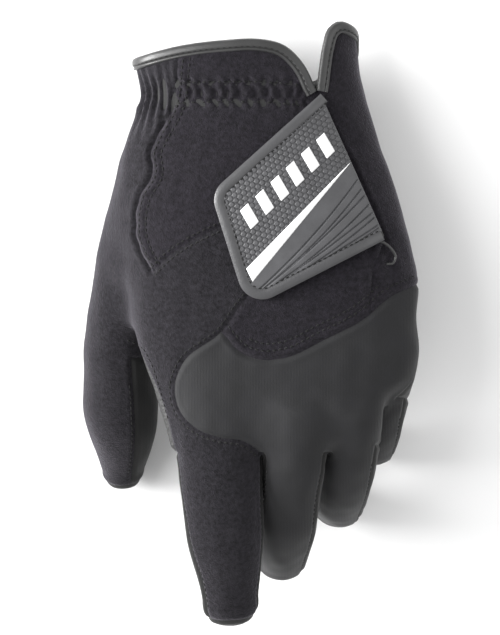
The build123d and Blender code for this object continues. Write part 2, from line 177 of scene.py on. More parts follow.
def stall_axes(stall):
    """Sideways unit vector, forward unit vector, arc radius and root slope of a stall."""
    lean = math.radians(stall["lean"])
    low, high = (math.radians(slope) for slope in stall["slope"])
    side = np.array([math.cos(lean), math.sin(lean), 0.0])
    ahead = np.array([math.sin(lean), -math.cos(lean), 0.0])
    return side, ahead, stall["length"] / (high - low), low


def stall_place(points, stall):
    """Distance along a stall's centre line, and sideways and upward distance from it."""
    side, ahead, radius, low = stall_axes(stall)
    offset = points - np.array(stall["root"])
    forward, x, up = offset @ ahead, offset @ side, offset[..., 2]
    bend_forward, bend_up = forward + radius * math.sin(low), up + radius * math.cos(low)
    turn = np.arctan2(bend_forward, bend_up) - low
    straight = forward * math.cos(low) - up * math.sin(low)
    straight_up = forward * math.sin(low) + up * math.cos(low)
    behind = straight < 0
    along = np.where(behind, straight, turn * radius)
    y = np.where(behind, straight_up, np.hypot(bend_forward, bend_up) - radius)
    return along, x, y


def stall_point(stall, along, x=0.0, y=0.0):
    """Hand-frame point of a stall's own coordinates."""
    side, ahead, radius, low = stall_axes(stall)
    turn = low + max(along, 0) / radius
    forward = radius * (math.sin(turn) - math.sin(low)) + min(along, 0) * math.cos(low) + y * math.sin(turn)
    up = radius * (math.cos(turn) - math.cos(low)) - min(along, 0) * math.sin(low) + y * math.cos(turn)
    return np.array(stall["root"]) + ahead * forward + side * x + np.array([0, 0, up])


def stall_sizes(along, stall):
    """Half width and half height along a stall, closing at its tip."""
    part = np.clip(along / stall["length"], 0, 1)
    stops = np.array([0, 0.5, 0.85])
    wide = smooth_value(part, stops, np.array(stall["wide"]))
    high = smooth_value(part, stops, np.array(stall["high"]))
    cap = 1.15 * stall["high"][2]
    beyond = np.clip(along - stall["length"] + cap, 0, None) / cap
    closing = np.sqrt(np.clip(1 - beyond**2, 1e-4, 1))
    return wide * closing, high * closing


def stall_field(points, stall):
    """Distance to a stall."""
    along, x, y = stall_place(points, stall)
    wide, high = stall_sizes(along, stall)
    field = oval_distance(x, y, wide, high, STALL_POWER)
    cap = 1.15 * stall["high"][2]
    end = np.hypot(along - stall["length"] + cap, np.hypot(x, y)) - cap
    field = np.where(along > stall["length"] - 0.5, np.maximum(end, along - stall["length"]), field)
    return np.maximum(field, -stall["back"] - along)


def soft_union(a, b, reach):
    """Union of two fields, filleted where they meet."""
    h = np.clip(0.5 + 0.5 * (b - a) / reach, 0, 1)
    return b * (1 - h) + a * h - reach * h * (1 - h)


def hand_fields(points):
    """Distance to the hand without its stalls, and to each stall, each kept off its neighbours."""
    palm = tube_field(points, PALM, PALM_POWER)
    web = np.interp(points[..., 0], WEB_LINE[:, 0], WEB_LINE[:, 1])
    palm = np.maximum(palm, web - points[..., 1])
    hand = soft_union(palm, tube_field(points, THUMB_BASE, BASE_POWER), 9.0)
    raw = {name: stall_field(points, stall) for name, stall in STALLS.items()}
    row = ["index", "middle", "ring", "little"]
    stalls = {"thumb": raw["thumb"]}
    heights = [np.clip(stall_place(points, STALLS[name])[2], -9, 9) for name in row]
    for i, name in enumerate(row):
        field = raw[name]
        for j in (i - 1, i + 1):
            if 0 <= j < len(row):
                lean = heights[min(i, j)] * (OVERHANG if j > i else -OVERHANG)
                field = np.maximum(field, (raw[name] - raw[row[j]] + STALL_GAP - lean) / 2)
        stalls[name] = field
    return hand, stalls


def glove_field(points):
    """Distance to the whole glove's outer surface."""
    hand, stalls = hand_fields(points)
    total = hand
    for name, field in stalls.items():
        total = np.minimum(total, soft_union(hand, field, MELT[name]))
    return total


# ---------------------------------------------------------------------------------------------------
# Skin: one closed surface, then parted along the seams
# ---------------------------------------------------------------------------------------------------
VOXEL = 0.8
REGION = ((-68, 68), (-76, 160), (-76, 24))


def raw_skin():
    """Triangle mesh of the glove's outer surface, in the hand frame."""
    axes = [np.arange(low, high, VOXEL) for low, high in REGION]
    field = np.empty([len(axis) for axis in axes], np.float32)
    for i, u in enumerate(axes[0]):
        plane = np.stack(np.meshgrid([u], axes[1], axes[2], indexing="ij"), -1)
        field[i] = glove_field(plane)[0]
    grid = openvdb.FloatGrid(background=10.0)
    grid.copyFromArray(field)
    points, quads = grid.convertToQuads(isovalue=0.0)
    points = points.astype(float) * VOXEL + np.array([low for low, high in REGION])
    triangles = np.concatenate([quads[:, [0, 1, 2]], quads[:, [0, 2, 3]]]).astype(np.int64)
    for _ in range(3):
        points -= 0.8 * field_step(points)
    if signed_volume(points, triangles) < 0:
        triangles = triangles[:, ::-1]
    u, v, w = points.T
    knuckles = step_up(v, -14, -4) * (1 - step_up(v, 42, 54)) * step_up(w, -9, -1) * step_up(u, -26, -16)
    thumb_root = step_up(v, 10, 20) * (1 - step_up(v, 62, 74)) * (1 - step_up(u, -36, -30))
    soften(points, triangles, np.maximum(knuckles, thumb_root), 60)
    return points, triangles


def soften(points, triangles, weight, rounds):
    """Draw each point towards the middle of its neighbours, by a weight from 0 to 1."""
    ends = np.concatenate([triangles[:, [0, 1]], triangles[:, [1, 2]], triangles[:, [2, 0]]])
    count = np.maximum(np.bincount(ends[:, 0], minlength=len(points)), 1)
    for _ in range(rounds):
        for axis in range(3):
            total = np.bincount(ends[:, 0], weights=points[ends[:, 1], axis], minlength=len(points))
            points[:, axis] += 0.7 * weight * (total / count - points[:, axis])


def field_step(points, step=0.2):
    """How far each point is from the surface, as a vector."""
    value = glove_field(points)
    gradient = np.empty_like(points)
    for axis in range(3):
        shift = np.zeros(3)
        shift[axis] = step
        gradient[:, axis] = (glove_field(points + shift) - glove_field(points - shift)) / (2 * step)
    length = np.maximum((gradient**2).sum(1), 0.25)
    move = gradient * (value / length)[:, None]
    reach = np.linalg.norm(move, axis=1, keepdims=True)
    return move * np.minimum(1, 0.6 / np.maximum(reach, 1e-9))


def signed_volume(points, triangles):
    """Volume of a closed mesh, below 0 when it's inside out."""
    a, b, c = (points[triangles[:, i]] for i in range(3))
    return (a * np.cross(b, c)).sum() / 6


def vertex_normals(points, triangles):
    """Unit normals at the vertices."""
    a, b, c = (points[triangles[:, i]] for i in range(3))
    face = np.cross(b - a, c - a)
    normals = np.zeros_like(points)
    for i in range(3):
        np.add.at(normals, triangles[:, i], face)
    return normals / np.maximum(np.linalg.norm(normals, axis=1, keepdims=True), 1e-12)


def cut(points, triangles, labels, field, where=None):
    """Split the triangles that a field's zero line crosses, and say which side each triangle is on."""
    value = np.where(np.abs(field) < 1e-5, 1e-5, field)
    above = value > 0
    corner = above[triangles]
    count = corner.sum(1)
    crossing = (count == 1) | (count == 2)
    if where is not None:
        crossing &= where
    tri, mark, side_of = triangles[crossing], labels[crossing], corner[crossing]
    odd_up = side_of.sum(1) == 1
    odd = np.argmax(side_of == odd_up[:, None], axis=1)
    rows = np.arange(len(tri))
    a, b, c = tri[rows, odd], tri[rows, (odd + 1) % 3], tri[rows, (odd + 2) % 3]
    edges = np.sort(np.concatenate([np.stack([a, b], 1), np.stack([a, c], 1)]), axis=1)
    unique, inverse = np.unique(edges, axis=0, return_inverse=True)
    inverse = inverse.reshape(-1)
    low, high = unique[:, 0], unique[:, 1]
    t = np.clip(value[low] / (value[low] - value[high]), 0.03, 0.97)[:, None]
    fresh = points[low] * (1 - t) + points[high] * t
    start = len(points)
    ab, ac = start + inverse[:len(a)], start + inverse[len(a):]
    kept = ~crossing
    new_triangles = np.concatenate([
        triangles[kept], np.stack([a, ab, ac], 1), np.stack([ab, b, c], 1), np.stack([ab, c, ac], 1)
    ])
    new_labels = np.concatenate([labels[kept], mark, mark, mark])
    sides = np.concatenate([count[kept] >= 2, odd_up, ~odd_up, ~odd_up])
    return np.concatenate([points, fresh]), new_triangles, new_labels, sides


def dense(curve, step=1.0):
    """Points of a smooth curve through a few points, evenly spaced."""
    curve = np.array(curve, float)
    length = np.concatenate([[0], np.cumsum(np.linalg.norm(np.diff(curve, axis=0), axis=1))])
    fine = np.linspace(0, length[-1], max(8, int(length[-1] / step * 3)))
    smooth = np.stack([smooth_value(fine, length, curve[:, i]) for i in range(curve.shape[1])], 1)
    travel = np.concatenate([[0], np.cumsum(np.linalg.norm(np.diff(smooth, axis=0), axis=1))])
    even = np.linspace(0, travel[-1], max(2, int(round(travel[-1] / step)) + 1))
    return np.stack([np.interp(even, travel, smooth[:, i]) for i in range(curve.shape[1])], 1)


def curve_distance(points, curve):
    """Distance in (u, v) to a line, and the nearest span's side: above 0 on its left."""
    best = np.full(len(points), np.inf)
    side = np.zeros(len(points))
    for start, end in zip(curve[:-1], curve[1:]):
        span = end - start
        offset = points - start
        t = np.clip(offset @ span / (span @ span), 0, 1)
        away = offset - t[:, None] * span
        distance = (away**2).sum(1)
        closer = distance < best
        best = np.where(closer, distance, best)
        turn = span[0] * offset[:, 1] - span[1] * offset[:, 0]
        side = np.where(closer, np.sign(turn), side)
    return np.sqrt(best), side


def inside_outline(points, outline):
    """Whether each (u, v) point is inside a closed outline."""
    result = np.zeros(len(points), bool)
    x, y = points[:, 0], points[:, 1]
    for (x0, y0), (x1, y1) in zip(outline, np.roll(outline, -1, axis=0)):
        if y0 == y1:
            continue
        hit = ((y0 > y) != (y1 > y)) & (x < (x1 - x0) * (y - y0) / (y1 - y0) + x0)
        result ^= hit
    return result


def seam_line(*seams):
    """Several seams that meet, as one line."""
    return np.concatenate([dense(seam, 2.0) for seam in seams])


def outline_field(points, line, ends):
    """Above 0 inside the region between a line and straight runs through its ends; zero on the line."""
    inside = inside_outline(points, np.concatenate([line, np.array(ends, float)]))
    distance, _ = curve_distance(points, line)
    return np.where(inside, distance, -distance)


def side_seam_height(points):
    """Height w of the seam between the back and the palm, at each side."""
    u, v = points[:, 0], points[:, 1]
    stops = np.array([-10.0, 24, 34, 44, 56, 73, 95, 118, 160])
    left = smooth_value(v, stops, np.array([1.5, 0.5, -3.0, -14, -21, -17, -12, -11, -11]))
    thumb_w, thumb_high = (smooth_value(v, THUMB_BASE[:, 0], THUMB_BASE[:, i]) for i in (2, 4))
    nearer = tube_field(points, PALM, PALM_POWER) - tube_field(points, THUMB_BASE, BASE_POWER)
    on_thumb = np.clip(nearer / 6 + 0.5, 0, 1) * (u < 0)
    left = left * (1 - on_thumb) + (thumb_w - 0.4 * thumb_high) * on_thumb
    share = 1 / (1 + np.exp(-u / 8))
    return left * (1 - share) - 3.0 * share


PALM_GROUP, THUMB_SIDE_GROUP, KNUCKLE_GROUP = "palm", "thumb_side", "knuckles"
GROUP_OF = {
    "palm_panel": PALM_GROUP, "index_back_panel": THUMB_SIDE_GROUP, "knuckle_panel": KNUCKLE_GROUP,
    "index_back": THUMB_SIDE_GROUP, "thumb_back": THUMB_SIDE_GROUP, "middle_back": KNUCKLE_GROUP,
    "ring_back": KNUCKLE_GROUP, "little_back": KNUCKLE_GROUP,
}
GROUP_OF.update({name + "_palm": PALM_GROUP for name in STALLS})
STRIPS = ("back", "radial_strip", "palm", "ulnar_strip")
THUMB_STRIPS = ("back", "palm", "inner_strip")
# v where each stall starts
SPLIT_AHEAD = {"index": -6.0, "middle": -6.0, "ring": -3.0, "little": 14.0, "thumb": 29.0}
TIP_WRAP = 4.5                   # the palm side wraps this much of the tip
# The index finger's seam on its thumb side climbs towards its back: distance along it and angle
INDEX_RIDGE = np.array([(0, 172), (24, 162), (40, 152), (52, 147), (73, 147)], float)


def seam_angles(name, along):
    """Angles of a stall's seams at points along it, in degrees."""
    angles = [np.full(len(along), float(angle)) for angle in STALLS[name]["seams"]]
    if name == "index":
        angles[1] = smooth_value(along, INDEX_RIDGE[:, 0], INDEX_RIDGE[:, 1])
    return angles


PALM_EDGE = np.array(
    [(-60, 139), (-41, 138.5), (-20, 134.5), (0, 131.5), (22, 131), (32, 136), (39, 144), (60, 149)]
)


def cuff_field(points):
    """Above 0 beyond the cuff's edge."""
    flat = points[:, :2]
    edge = np.concatenate([dense(CUFF_BACK, 2.0), dense(CUFF_ULNAR, 2.0)[1:]])
    inside = inside_outline(flat, np.concatenate([edge, np.array([(60, 220), (-60, 220)], float)]))
    distance, _ = curve_distance(flat, edge)
    back = np.where(inside, distance, -distance)
    palm = points[:, 1] - np.interp(points[:, 0], PALM_EDGE[:, 0], PALM_EDGE[:, 1])
    share = np.clip((points[:, 2] - side_seam_height(points)) / 8 + 0.5, 0, 1)
    share = share * share * (3 - 2 * share)
    return back * share + palm * (1 - share)


MARK = 1000                      # added to a label while its triangles are being cut


class Skin:
    """The glove's outer surface while it's being parted."""

    def __init__(self):
        self.points, self.triangles = raw_skin()
        self.names = ["hand"]
        self.labels = np.zeros(len(self.triangles), int)

    def label(self, name):
        if name not in self.names:
            self.names.append(name)
        return self.names.index(name)

    def centres(self):
        return self.points[self.triangles].mean(1)

    def part(self, field, source, above, where=None):
        """Cut along a field's zero line, and name what is above it, out of what is named source."""
        chosen = np.isin(self.labels, [self.label(name) for name in source])
        if where is not None:
            chosen &= where
        marked = self.labels + np.where(chosen, MARK, 0)
        self.points, self.triangles, marked, sides = cut(
            self.points, self.triangles, marked, field(self.points), chosen
        )
        chosen = marked >= MARK
        self.labels = np.where(chosen, marked - MARK, marked)
        if above is None:
            keep = ~sides
            self.triangles, self.labels = self.triangles[keep], self.labels[keep]
            return
        self.labels[chosen & (field(self.centres()) > 0)] = self.label(above)


def nearest_stall(points):
    """Number of the part each point belongs to: 0 for the hand, then the stalls in order."""
    hand, stalls = hand_fields(points)
    return np.argmin(np.stack([hand] + [stalls[name] for name in STALLS]), axis=0)


def part_stalls(skin):
    """Part each stall from the hand and then along its seams."""
    for number, (name, stall) in enumerate(STALLS.items(), 1):
        start = SPLIT_AHEAD[name]
        near = nearest_stall(skin.centres())
        # just behind the split the hand's own field can be nearer, so the neighbours' territory decides
        others = [n for n in range(1, len(STALLS) + 1) if n != number]
        centres = skin.centres()
        if name == "thumb":
            territory = (centres[:, 0] < -30) & (near != 1) & (stall_field(centres, stall) < 3)
        else:
            territory = ~np.isin(near, others) & (stall_field(centres, stall) < 6)
        skin.part(lambda p, start=start: start - p[:, 1], ["hand"], name, territory)
        centres = skin.centres()
        labelled = skin.labels == skin.label(name)
        near = nearest_stall(centres)
        wrong = labelled & np.isin(near, others)
        skin.labels[wrong] = skin.label("hand")
        part_stall_seams(skin, name, stall)


def part_stall_seams(skin, name, stall):
    """Part one stall into its strips."""
    count = len(stall["seams"])

    def placed(points):
        along, x, y = stall_place(points, stall)
        wide, high = stall_sizes(along, stall)
        return along, x / wide, y / high

    def seam_field(points, number):
        along, x, y = placed(points)
        angle = np.radians(seam_angles(name, along)[number])
        return x * np.sin(angle) - y * np.cos(angle)

    for number in range(count):
        along, x, y = placed(skin.centres())
        angle = np.radians(seam_angles(name, along)[number])
        facing = x * np.cos(angle) + y * np.sin(angle) > 0
        skin.part(lambda p, number=number: seam_field(p, number), [name], name, facing)
    skin.part(lambda p: stall_place(p, stall)[0] - stall["length"] + TIP_WRAP, [name], name)
    along, x, y = placed(skin.centres())
    turn = np.degrees(np.arctan2(y, x)) % 360
    strips = STRIPS if count == 4 else THUMB_STRIPS
    chosen = skin.labels == skin.label(name)
    angles = seam_angles(name, along)
    for number, strip in enumerate(strips):
        start, end = angles[number], angles[(number + 1) % count]
        within = (turn - start) % 360 < (end - start) % 360
        skin.labels[chosen & within] = skin.label(f"{name}_{strip}")
    skin.labels[chosen & (along > stall["length"] - TIP_WRAP)] = skin.label(name + "_palm")


def part_back(skin):
    """Part the hand into the palm and the panels of its back."""
    skin.part(lambda p: side_seam_height(p) - p[:, 2], ["hand"], "palm_panel")
    index_side = (seam_line(INDEX_SEAM), [(-REACH, -14), (-REACH, BEYOND), (47, BEYOND)])
    knuckle_side = (seam_line(KNUCKLE_SEAM), [(REACH, 61), (REACH, -REACH), (-34, -REACH), (-34, 38.9)])
    ulnar_side = (seam_line(SLIT_LINE, ULNAR_FOLD), [(REACH, 30), (REACH, BEYOND), (SLIT_TOP[0], BEYOND)])
    wrist_side = (seam_line(WRIST_SEAM, WRIST_FRONT_SEAM), [(60, 98), (60, BEYOND), (-25.6, BEYOND)])
    regions = [
        ("hand", "knuckle_panel", knuckle_side),
        ("knuckle_panel", "index_back_panel", index_side),
        ("hand", "ulnar_back_panel", ulnar_side),
        ("hand", "wrist_back_panel", wrist_side),
        ("hand", "index_back_panel", index_side),
    ]
    for source, name, (line, ends) in regions:
        skin.part(lambda p, line=line, ends=ends: outline_field(p[:, :2], line, ends), [source], name)
    skin.labels[skin.labels == skin.label("hand")] = skin.label("mid_back_panel")


def parted_skin():
    """The glove's surface with every triangle named."""
    skin = Skin()
    skin.part(cuff_field, ["hand"], None)
    part_stalls(skin)
    part_back(skin)
    return skin


# ---------------------------------------------------------------------------------------------------
# Relief: seam grooves, puckers at the elastic, gathers and soft folds, as a height along the normal
# ---------------------------------------------------------------------------------------------------
THICKNESS = 0.7                  # of the skin
ELASTIC_ROWS = (130.6, 123.2)    # v of the two rows that hold the elastic
PUCKER = 4.6                     # from one pucker of the elastic to the next
SEAM_DEPTH, SEAM_WIDTH = 0.55, 0.75


def waves(points, count, length, seed):
    """Smooth random heights, about -1 to 1, with features of a given length."""
    rng = np.random.default_rng(seed)
    total = np.zeros(len(points))
    for _ in range(count):
        direction = rng.normal(size=3)
        direction /= np.linalg.norm(direction)
        wave = 2 * math.pi / (length * rng.uniform(0.7, 1.6))
        total += np.sin(points @ direction * wave + rng.uniform(0, 2 * math.pi))
    return total / math.sqrt(count)


def bump(x, centre, width):
    """A smooth hill."""
    return np.exp(-(((x - centre) / width) ** 2))


def seam_distance(skin):
    """Distance from each vertex to the nearest seam between two groups of panels."""
    names = sorted({GROUP_OF.get(name, name) for name in skin.names})
    group = np.array([names.index(GROUP_OF.get(name, name)) for name in skin.names])[skin.labels]
    low = np.full(len(skin.points), 10**6)
    high = np.full(len(skin.points), -1)
    for i in range(3):
        np.minimum.at(low, skin.triangles[:, i], group)
        np.maximum.at(high, skin.triangles[:, i], group)
    on_seam = np.flatnonzero((low != high) & (high >= 0))
    tree = KDTree(len(on_seam))
    for number in on_seam:
        tree.insert(skin.points[number], int(number))
    tree.balance()
    return np.array([tree.find(point)[2] for point in skin.points])


def beside(curve, offset, step=1.0):
    """Curve moved sideways: above 0 to its left."""
    line = dense(curve, step)
    ahead = np.gradient(line, axis=0)
    ahead /= np.linalg.norm(ahead, axis=1, keepdims=True)
    return line + offset * np.stack([-ahead[:, 1], ahead[:, 0]], 1)


# Stitch rows on the back: the seam that each follows and how far beside it
STITCH_ROWS = [
    (WRIST_FRONT_SEAM, 1.5), (WRIST_FRONT_SEAM, -1.5), (WRIST_SEAM, 4.2), (WRIST_SEAM, 1.7),
    (KNUCKLE_SEAM[:-1], 3.4), (KNUCKLE_SEAM[1:-2], 6.0), (INDEX_SEAM[:-1], -1.6),
]


def relief(points, distance):
    """Height of the finished surface over the smooth one."""
    u, v, w = points.T
    flat = points[:, :2]
    height = -SEAM_DEPTH * bump(distance, 0, SEAM_WIDTH) + 0.16 * bump(distance, 1.9, 0.9)
    height += 0.30 * waves(points, 14, 26, 3) + 0.10 * waves(points, 16, 9, 4)
    # elastic: two rows of puckers and gathers between them
    back = step_up(w, -14, -4)
    on_back = step_up(u, -30, -24) * (1 - step_up(u, 18, 24)) * back
    beat = u + 1.1 * waves(points, 6, 14, 5)
    swing = 0.9 * np.sin(2 * math.pi * beat / PUCKER)
    rows = bump(v, ELASTIC_ROWS[0] + swing, 1.0) + bump(v, ELASTIC_ROWS[1] - swing, 1.0)
    scallops = 0.5 + 0.5 * np.cos(2 * math.pi * beat / PUCKER + 0.6)
    between = bump(v, 127, 4.0) * np.cos(2 * math.pi * beat / PUCKER + 2.2)
    height += on_back * (-1.5 * rows * (0.35 + 0.65 * scallops) + 0.7 * between + 0.35 * bump(v, 136, 4))
    # thumb side of the cuff: deep upright gathers
    around = np.arctan2(w + 4, -(u + 8)) * 34
    gathered = (1 - step_up(u, -31, -26)) * bump(v, 124.5, 9.5)
    height += gathered * (0.85 * np.cos(2 * math.pi * around / 3.7 + 0.25 * waves(points, 6, 10, 6)) - 0.5)
    # S-shaped seam: a drawn-in line, with a raised edge beside it near its lower end
    away, side = curve_distance(flat, dense(WRIST_SEAM, 2.0))
    seam_zone = step_up(v, 58, 62) * (1 - step_up(v, 128, 134)) * back
    raised = 0.35 * bump(away * side, 2.6, 1.4) * (1 - step_up(v, 92, 106))
    height += seam_zone * (-0.5 * bump(away, 0, 0.9) + raised)
    height += 0.3 * seam_zone * bump(away, 0, 4) * np.cos(2 * math.pi * v / 7.5)
    # soft folds beside the tab's lower root and behind the thumb
    fold = np.cos(2 * math.pi * (u + 0.18 * (v - 60)) / 7.0) * bump(u, 47, 7) * bump(v, 62, 11) * back
    height += 0.45 * fold
    stretch = np.cos(2 * math.pi * (u * 0.55 + v * 0.83) / 12.0) * bump(u, -44, 12) * bump(v, 62, 22)
    for row, shift in STITCH_ROWS:
        away, _ = curve_distance(flat, beside(row, shift, 2.0))
        height -= 0.28 * bump(away, 0, 0.55) * back * (v > -30)
    return height + 0.2 * stretch


# ---------------------------------------------------------------------------------------------------
# Meshes and materials
# ---------------------------------------------------------------------------------------------------
def add_mesh(name, vertices, faces, material, normals=None):
    """A smooth-shaded object from row-frame vertices."""
    mesh = bpy.data.meshes.new(name)
    mesh.from_pydata(np.asarray(vertices).tolist(), [], [list(map(int, face)) for face in faces])
    mesh.polygons.foreach_set("use_smooth", [True] * len(mesh.polygons))
    mesh.materials.append(material)
    if normals is not None:
        mesh.normals_split_custom_set_from_vertices(np.asarray(normals).tolist())
    obj = bpy.data.objects.new(name, mesh)
    bpy.context.scene.collection.objects.link(obj)
    return obj


def boundary_edges(triangles):
    """Edges with one triangle, in its winding order."""
    edges = np.concatenate([triangles[:, [0, 1]], triangles[:, [1, 2]], triangles[:, [2, 0]]])
    size = triangles.max() + 1
    key = edges[:, 0] * size + edges[:, 1]
    back = edges[:, 1] * size + edges[:, 0]
    return edges[~np.isin(key, back)]


def shell(name, outer, normals, triangles, material):
    """A panel of cloth: its outer face, its inner face and the cut edge between them."""
    used, local = np.unique(triangles, return_inverse=True)
    local = local.reshape(-1, 3)
    top, up = outer[used], normals[used]
    vertices = np.concatenate([top, top - up * THICKNESS])
    count = len(used)
    rim = boundary_edges(local)
    sides = np.stack([rim[:, 1], rim[:, 0], rim[:, 0] + count, rim[:, 1] + count], 1)
    faces = list(local) + list(local[:, ::-1] + count) + list(sides)
    both = np.concatenate([up, -up]) @ AXES
    return add_mesh(name, to_row(vertices), faces, material, both)


def new_material(name, rough, **sockets):
    """A Principled material, with constants set on its own sockets."""
    material = bpy.data.materials.new(name)
    material.use_nodes = True
    shader = material.node_tree.nodes["Principled BSDF"]
    shader.inputs["Roughness"].default_value = rough
    for socket, value in sockets.items():
        shader.inputs[socket.replace("_", " ")].default_value = value
    return material, material.node_tree, shader


def texture(tree, kind, scale, **settings):
    """A procedural texture in the object's own coordinates, with a scale in repeats a metre."""
    coordinates = tree.nodes.new("ShaderNodeTexCoord")
    node = tree.nodes.new(kind)
    for socket, value in settings.items():
        node.inputs[socket].default_value = value
    node.inputs["Scale"].default_value = scale
    tree.links.new(coordinates.outputs["Object"], node.inputs["Vector"])
    return node


def two_colours(tree, shader, factor, low, high, start=0.35, end=0.65):
    """Colour the shader between two tones by a texture."""
    ramp = tree.nodes.new("ShaderNodeValToRGB")
    ramp.color_ramp.elements[0].position, ramp.color_ramp.elements[1].position = start, end
    ramp.color_ramp.elements[0].color, ramp.color_ramp.elements[1].color = (*low, 1), (*high, 1)
    tree.links.new(factor, ramp.inputs["Fac"])
    tree.links.new(ramp.outputs["Color"], shader.inputs["Base Color"])


def bumps(tree, shader, layers):
    """Chain of bumps: (texture output, strength, depth in metres) each."""
    last = None
    for height, strength, depth in layers:
        node = tree.nodes.new("ShaderNodeBump")
        node.inputs["Strength"].default_value = strength
        node.inputs["Distance"].default_value = depth
        tree.links.new(height, node.inputs["Height"])
        if last is not None:
            tree.links.new(last.outputs["Normal"], node.inputs["Normal"])
        last = node
    tree.links.new(last.outputs["Normal"], shader.inputs["Normal"])


def rough_by(tree, shader, factor, low, high):
    """Vary roughness between two values by a texture."""
    spread = tree.nodes.new("ShaderNodeMapRange")
    spread.inputs["To Min"].default_value, spread.inputs["To Max"].default_value = low, high
    tree.links.new(factor, spread.inputs["Value"])
    tree.links.new(spread.outputs["Result"], shader.inputs["Roughness"])


def suede(name, dark, light, sheen=0.5):
    """Brushed microfibre: short nap, a mottled tone and a soft sheen at grazing angles."""
    material, tree, shader = new_material(
        name, 0.9, Sheen_Weight=sheen, Sheen_Roughness=0.45, Sheen_Tint=(0.86, 0.82, 0.92, 1),
        Specular_IOR_Level=0.15,
    )
    nap = texture(tree, "ShaderNodeTexNoise", 1500, Detail=4.0, Roughness=0.65)
    patches = texture(tree, "ShaderNodeTexNoise", 700, Detail=3.0, Roughness=0.6)
    pile = texture(tree, "ShaderNodeTexVoronoi", 1900)
    two_colours(tree, shader, patches.outputs["Fac"], dark, light, 0.3, 0.7)
    rough_by(tree, shader, nap.outputs["Fac"], 0.78, 1.0)
    bumps(tree, shader, [(nap.outputs["Fac"], 0.75, 0.0005), (pile.outputs["Distance"], 0.3, 0.0003)])
    return material


def stretch_cloth(name, dark, light, rough=0.72):
    """Fine smooth knit: tight ribs one way, with a faint grain."""
    material, tree, shader = new_material(
        name, rough, Sheen_Weight=0.1, Sheen_Roughness=0.5, Specular_IOR_Level=0.28
    )
    ribs = texture(tree, "ShaderNodeTexWave", 560, Distortion=1.2, Detail=2.0)
    grain = texture(tree, "ShaderNodeTexNoise", 2200, Detail=3.0)
    patches = texture(tree, "ShaderNodeTexNoise", 130, Detail=4.0)
    two_colours(tree, shader, patches.outputs["Fac"], dark, light, 0.3, 0.7)
    rough_by(tree, shader, patches.outputs["Fac"], rough - 0.08, rough + 0.1)
    bumps(tree, shader, [(ribs.outputs["Fac"], 0.25, 0.00015), (grain.outputs["Fac"], 0.35, 0.0002)])
    return material


def leather(name, dark, light, rough, grain=900, depth=0.0003, coat=0.0):
    """Thin leather: pebbled grain, finer creases, and worn, shinier high spots."""
    material, tree, shader = new_material(name, rough, Coat_Weight=coat, Coat_Roughness=0.3)
    pebbles = texture(tree, "ShaderNodeTexVoronoi", grain)
    creases = texture(tree, "ShaderNodeTexNoise", grain * 0.7, Detail=5.0, Roughness=0.6)
    wear = texture(tree, "ShaderNodeTexNoise", 90, Detail=4.0)
    two_colours(tree, shader, wear.outputs["Fac"], dark, light, 0.3, 0.75)
    rough_by(tree, shader, wear.outputs["Fac"], rough + 0.08, rough - 0.08)
    bumps(tree, shader, [(creases.outputs["Fac"], 0.35, depth), (pebbles.outputs["Distance"], 0.35, depth)])
    return material


def rubber(name, dark, light, rough):
    """Moulded rubber: satin, with a fine spark-eroded grain."""
    material, tree, shader = new_material(name, rough)
    grain = texture(tree, "ShaderNodeTexNoise", 3000, Detail=2.0)
    stains = texture(tree, "ShaderNodeTexNoise", 160, Detail=3.0)
    two_colours(tree, shader, stains.outputs["Fac"], dark, light)
    rough_by(tree, shader, stains.outputs["Fac"], rough - 0.06, rough + 0.08)
    bumps(tree, shader, [(grain.outputs["Fac"], 0.3, 0.0001)])
    return material


def grey(value, red=1.0, blue=1.0):
    """A near-black tone."""
    return (value * red, value, value * blue)


SUEDE_WRIST = suede("wrist_suede", grey(0.003, 1.15, 1.35), grey(0.013, 1.15, 1.35), 0.3)
SUEDE_HAND = suede("hand_suede", grey(0.004, 1.08, 1.22), grey(0.016, 1.08, 1.22), 0.22)
STRETCH = stretch_cloth("stretch_cloth", grey(0.0095, 1.0, 1.08), grey(0.0125, 1.0, 1.12))
SIDE_CLOTH = stretch_cloth("side_cloth", grey(0.004), grey(0.007))
PALM_LEATHER = leather("palm_leather", grey(0.009), grey(0.015), 0.55)
BINDING = leather("binding_leather", grey(0.022), grey(0.036), 0.36, 1400, 0.00012)
# Tab's binding: the binding leather again in a lighter tone. The lighter tone is painted light that stands in
# for the brighter light on the tab's binding.
TAB_BINDING_PAINTED_LIGHT = leather(
    "tab_binding_painted_light", grey(0.045, 1.0, 1.05), grey(0.065, 1.0, 1.05), 0.34, 1400, 0.00012
)
TAB_LEATHER = leather("tab_leather", grey(0.012), grey(0.020), 0.5)
BADGE = rubber("badge_rubber", grey(0.055, 1.0, 1.06), grey(0.068, 1.0, 1.06), 0.45)
WHITE = rubber("white_inlay", (0.80, 0.80, 0.80), (0.86, 0.86, 0.86), 0.4)
THREAD = stretch_cloth("thread", grey(0.003), grey(0.006), 0.85)
PILE = suede("loop_pile", grey(0.006), grey(0.014), 0.4)
ELASTIC = stretch_cloth("elastic_webbing", grey(0.012), grey(0.022))
LABEL = stretch_cloth("label_cloth", (0.42, 0.42, 0.40), (0.50, 0.50, 0.48))

PANEL_FINISH = {
    "palm_panel": (PALM_LEATHER, "palm_leather"), "wrist_back_panel": (SUEDE_WRIST, "back_suede"),
    "index_back_panel": (SUEDE_HAND, "back_suede"), "mid_back_panel": (SUEDE_WRIST, "back_suede"),
    "ulnar_back_panel": (SUEDE_WRIST, "back_suede"), "knuckle_panel": (STRETCH, "stretch_panel"),
    "index_back": (SUEDE_HAND, "back_suede"), "thumb_back": (SUEDE_HAND, "back_suede"),
}
for stall_name in ("middle", "ring", "little"):
    PANEL_FINISH[stall_name + "_back"] = (STRETCH, "stretch_panel")
for stall_name in STALLS:
    PANEL_FINISH[stall_name + "_palm"] = (PALM_LEATHER, "palm_leather")
SIDE_FINISH = (SIDE_CLOTH, "stall_side_cloth")


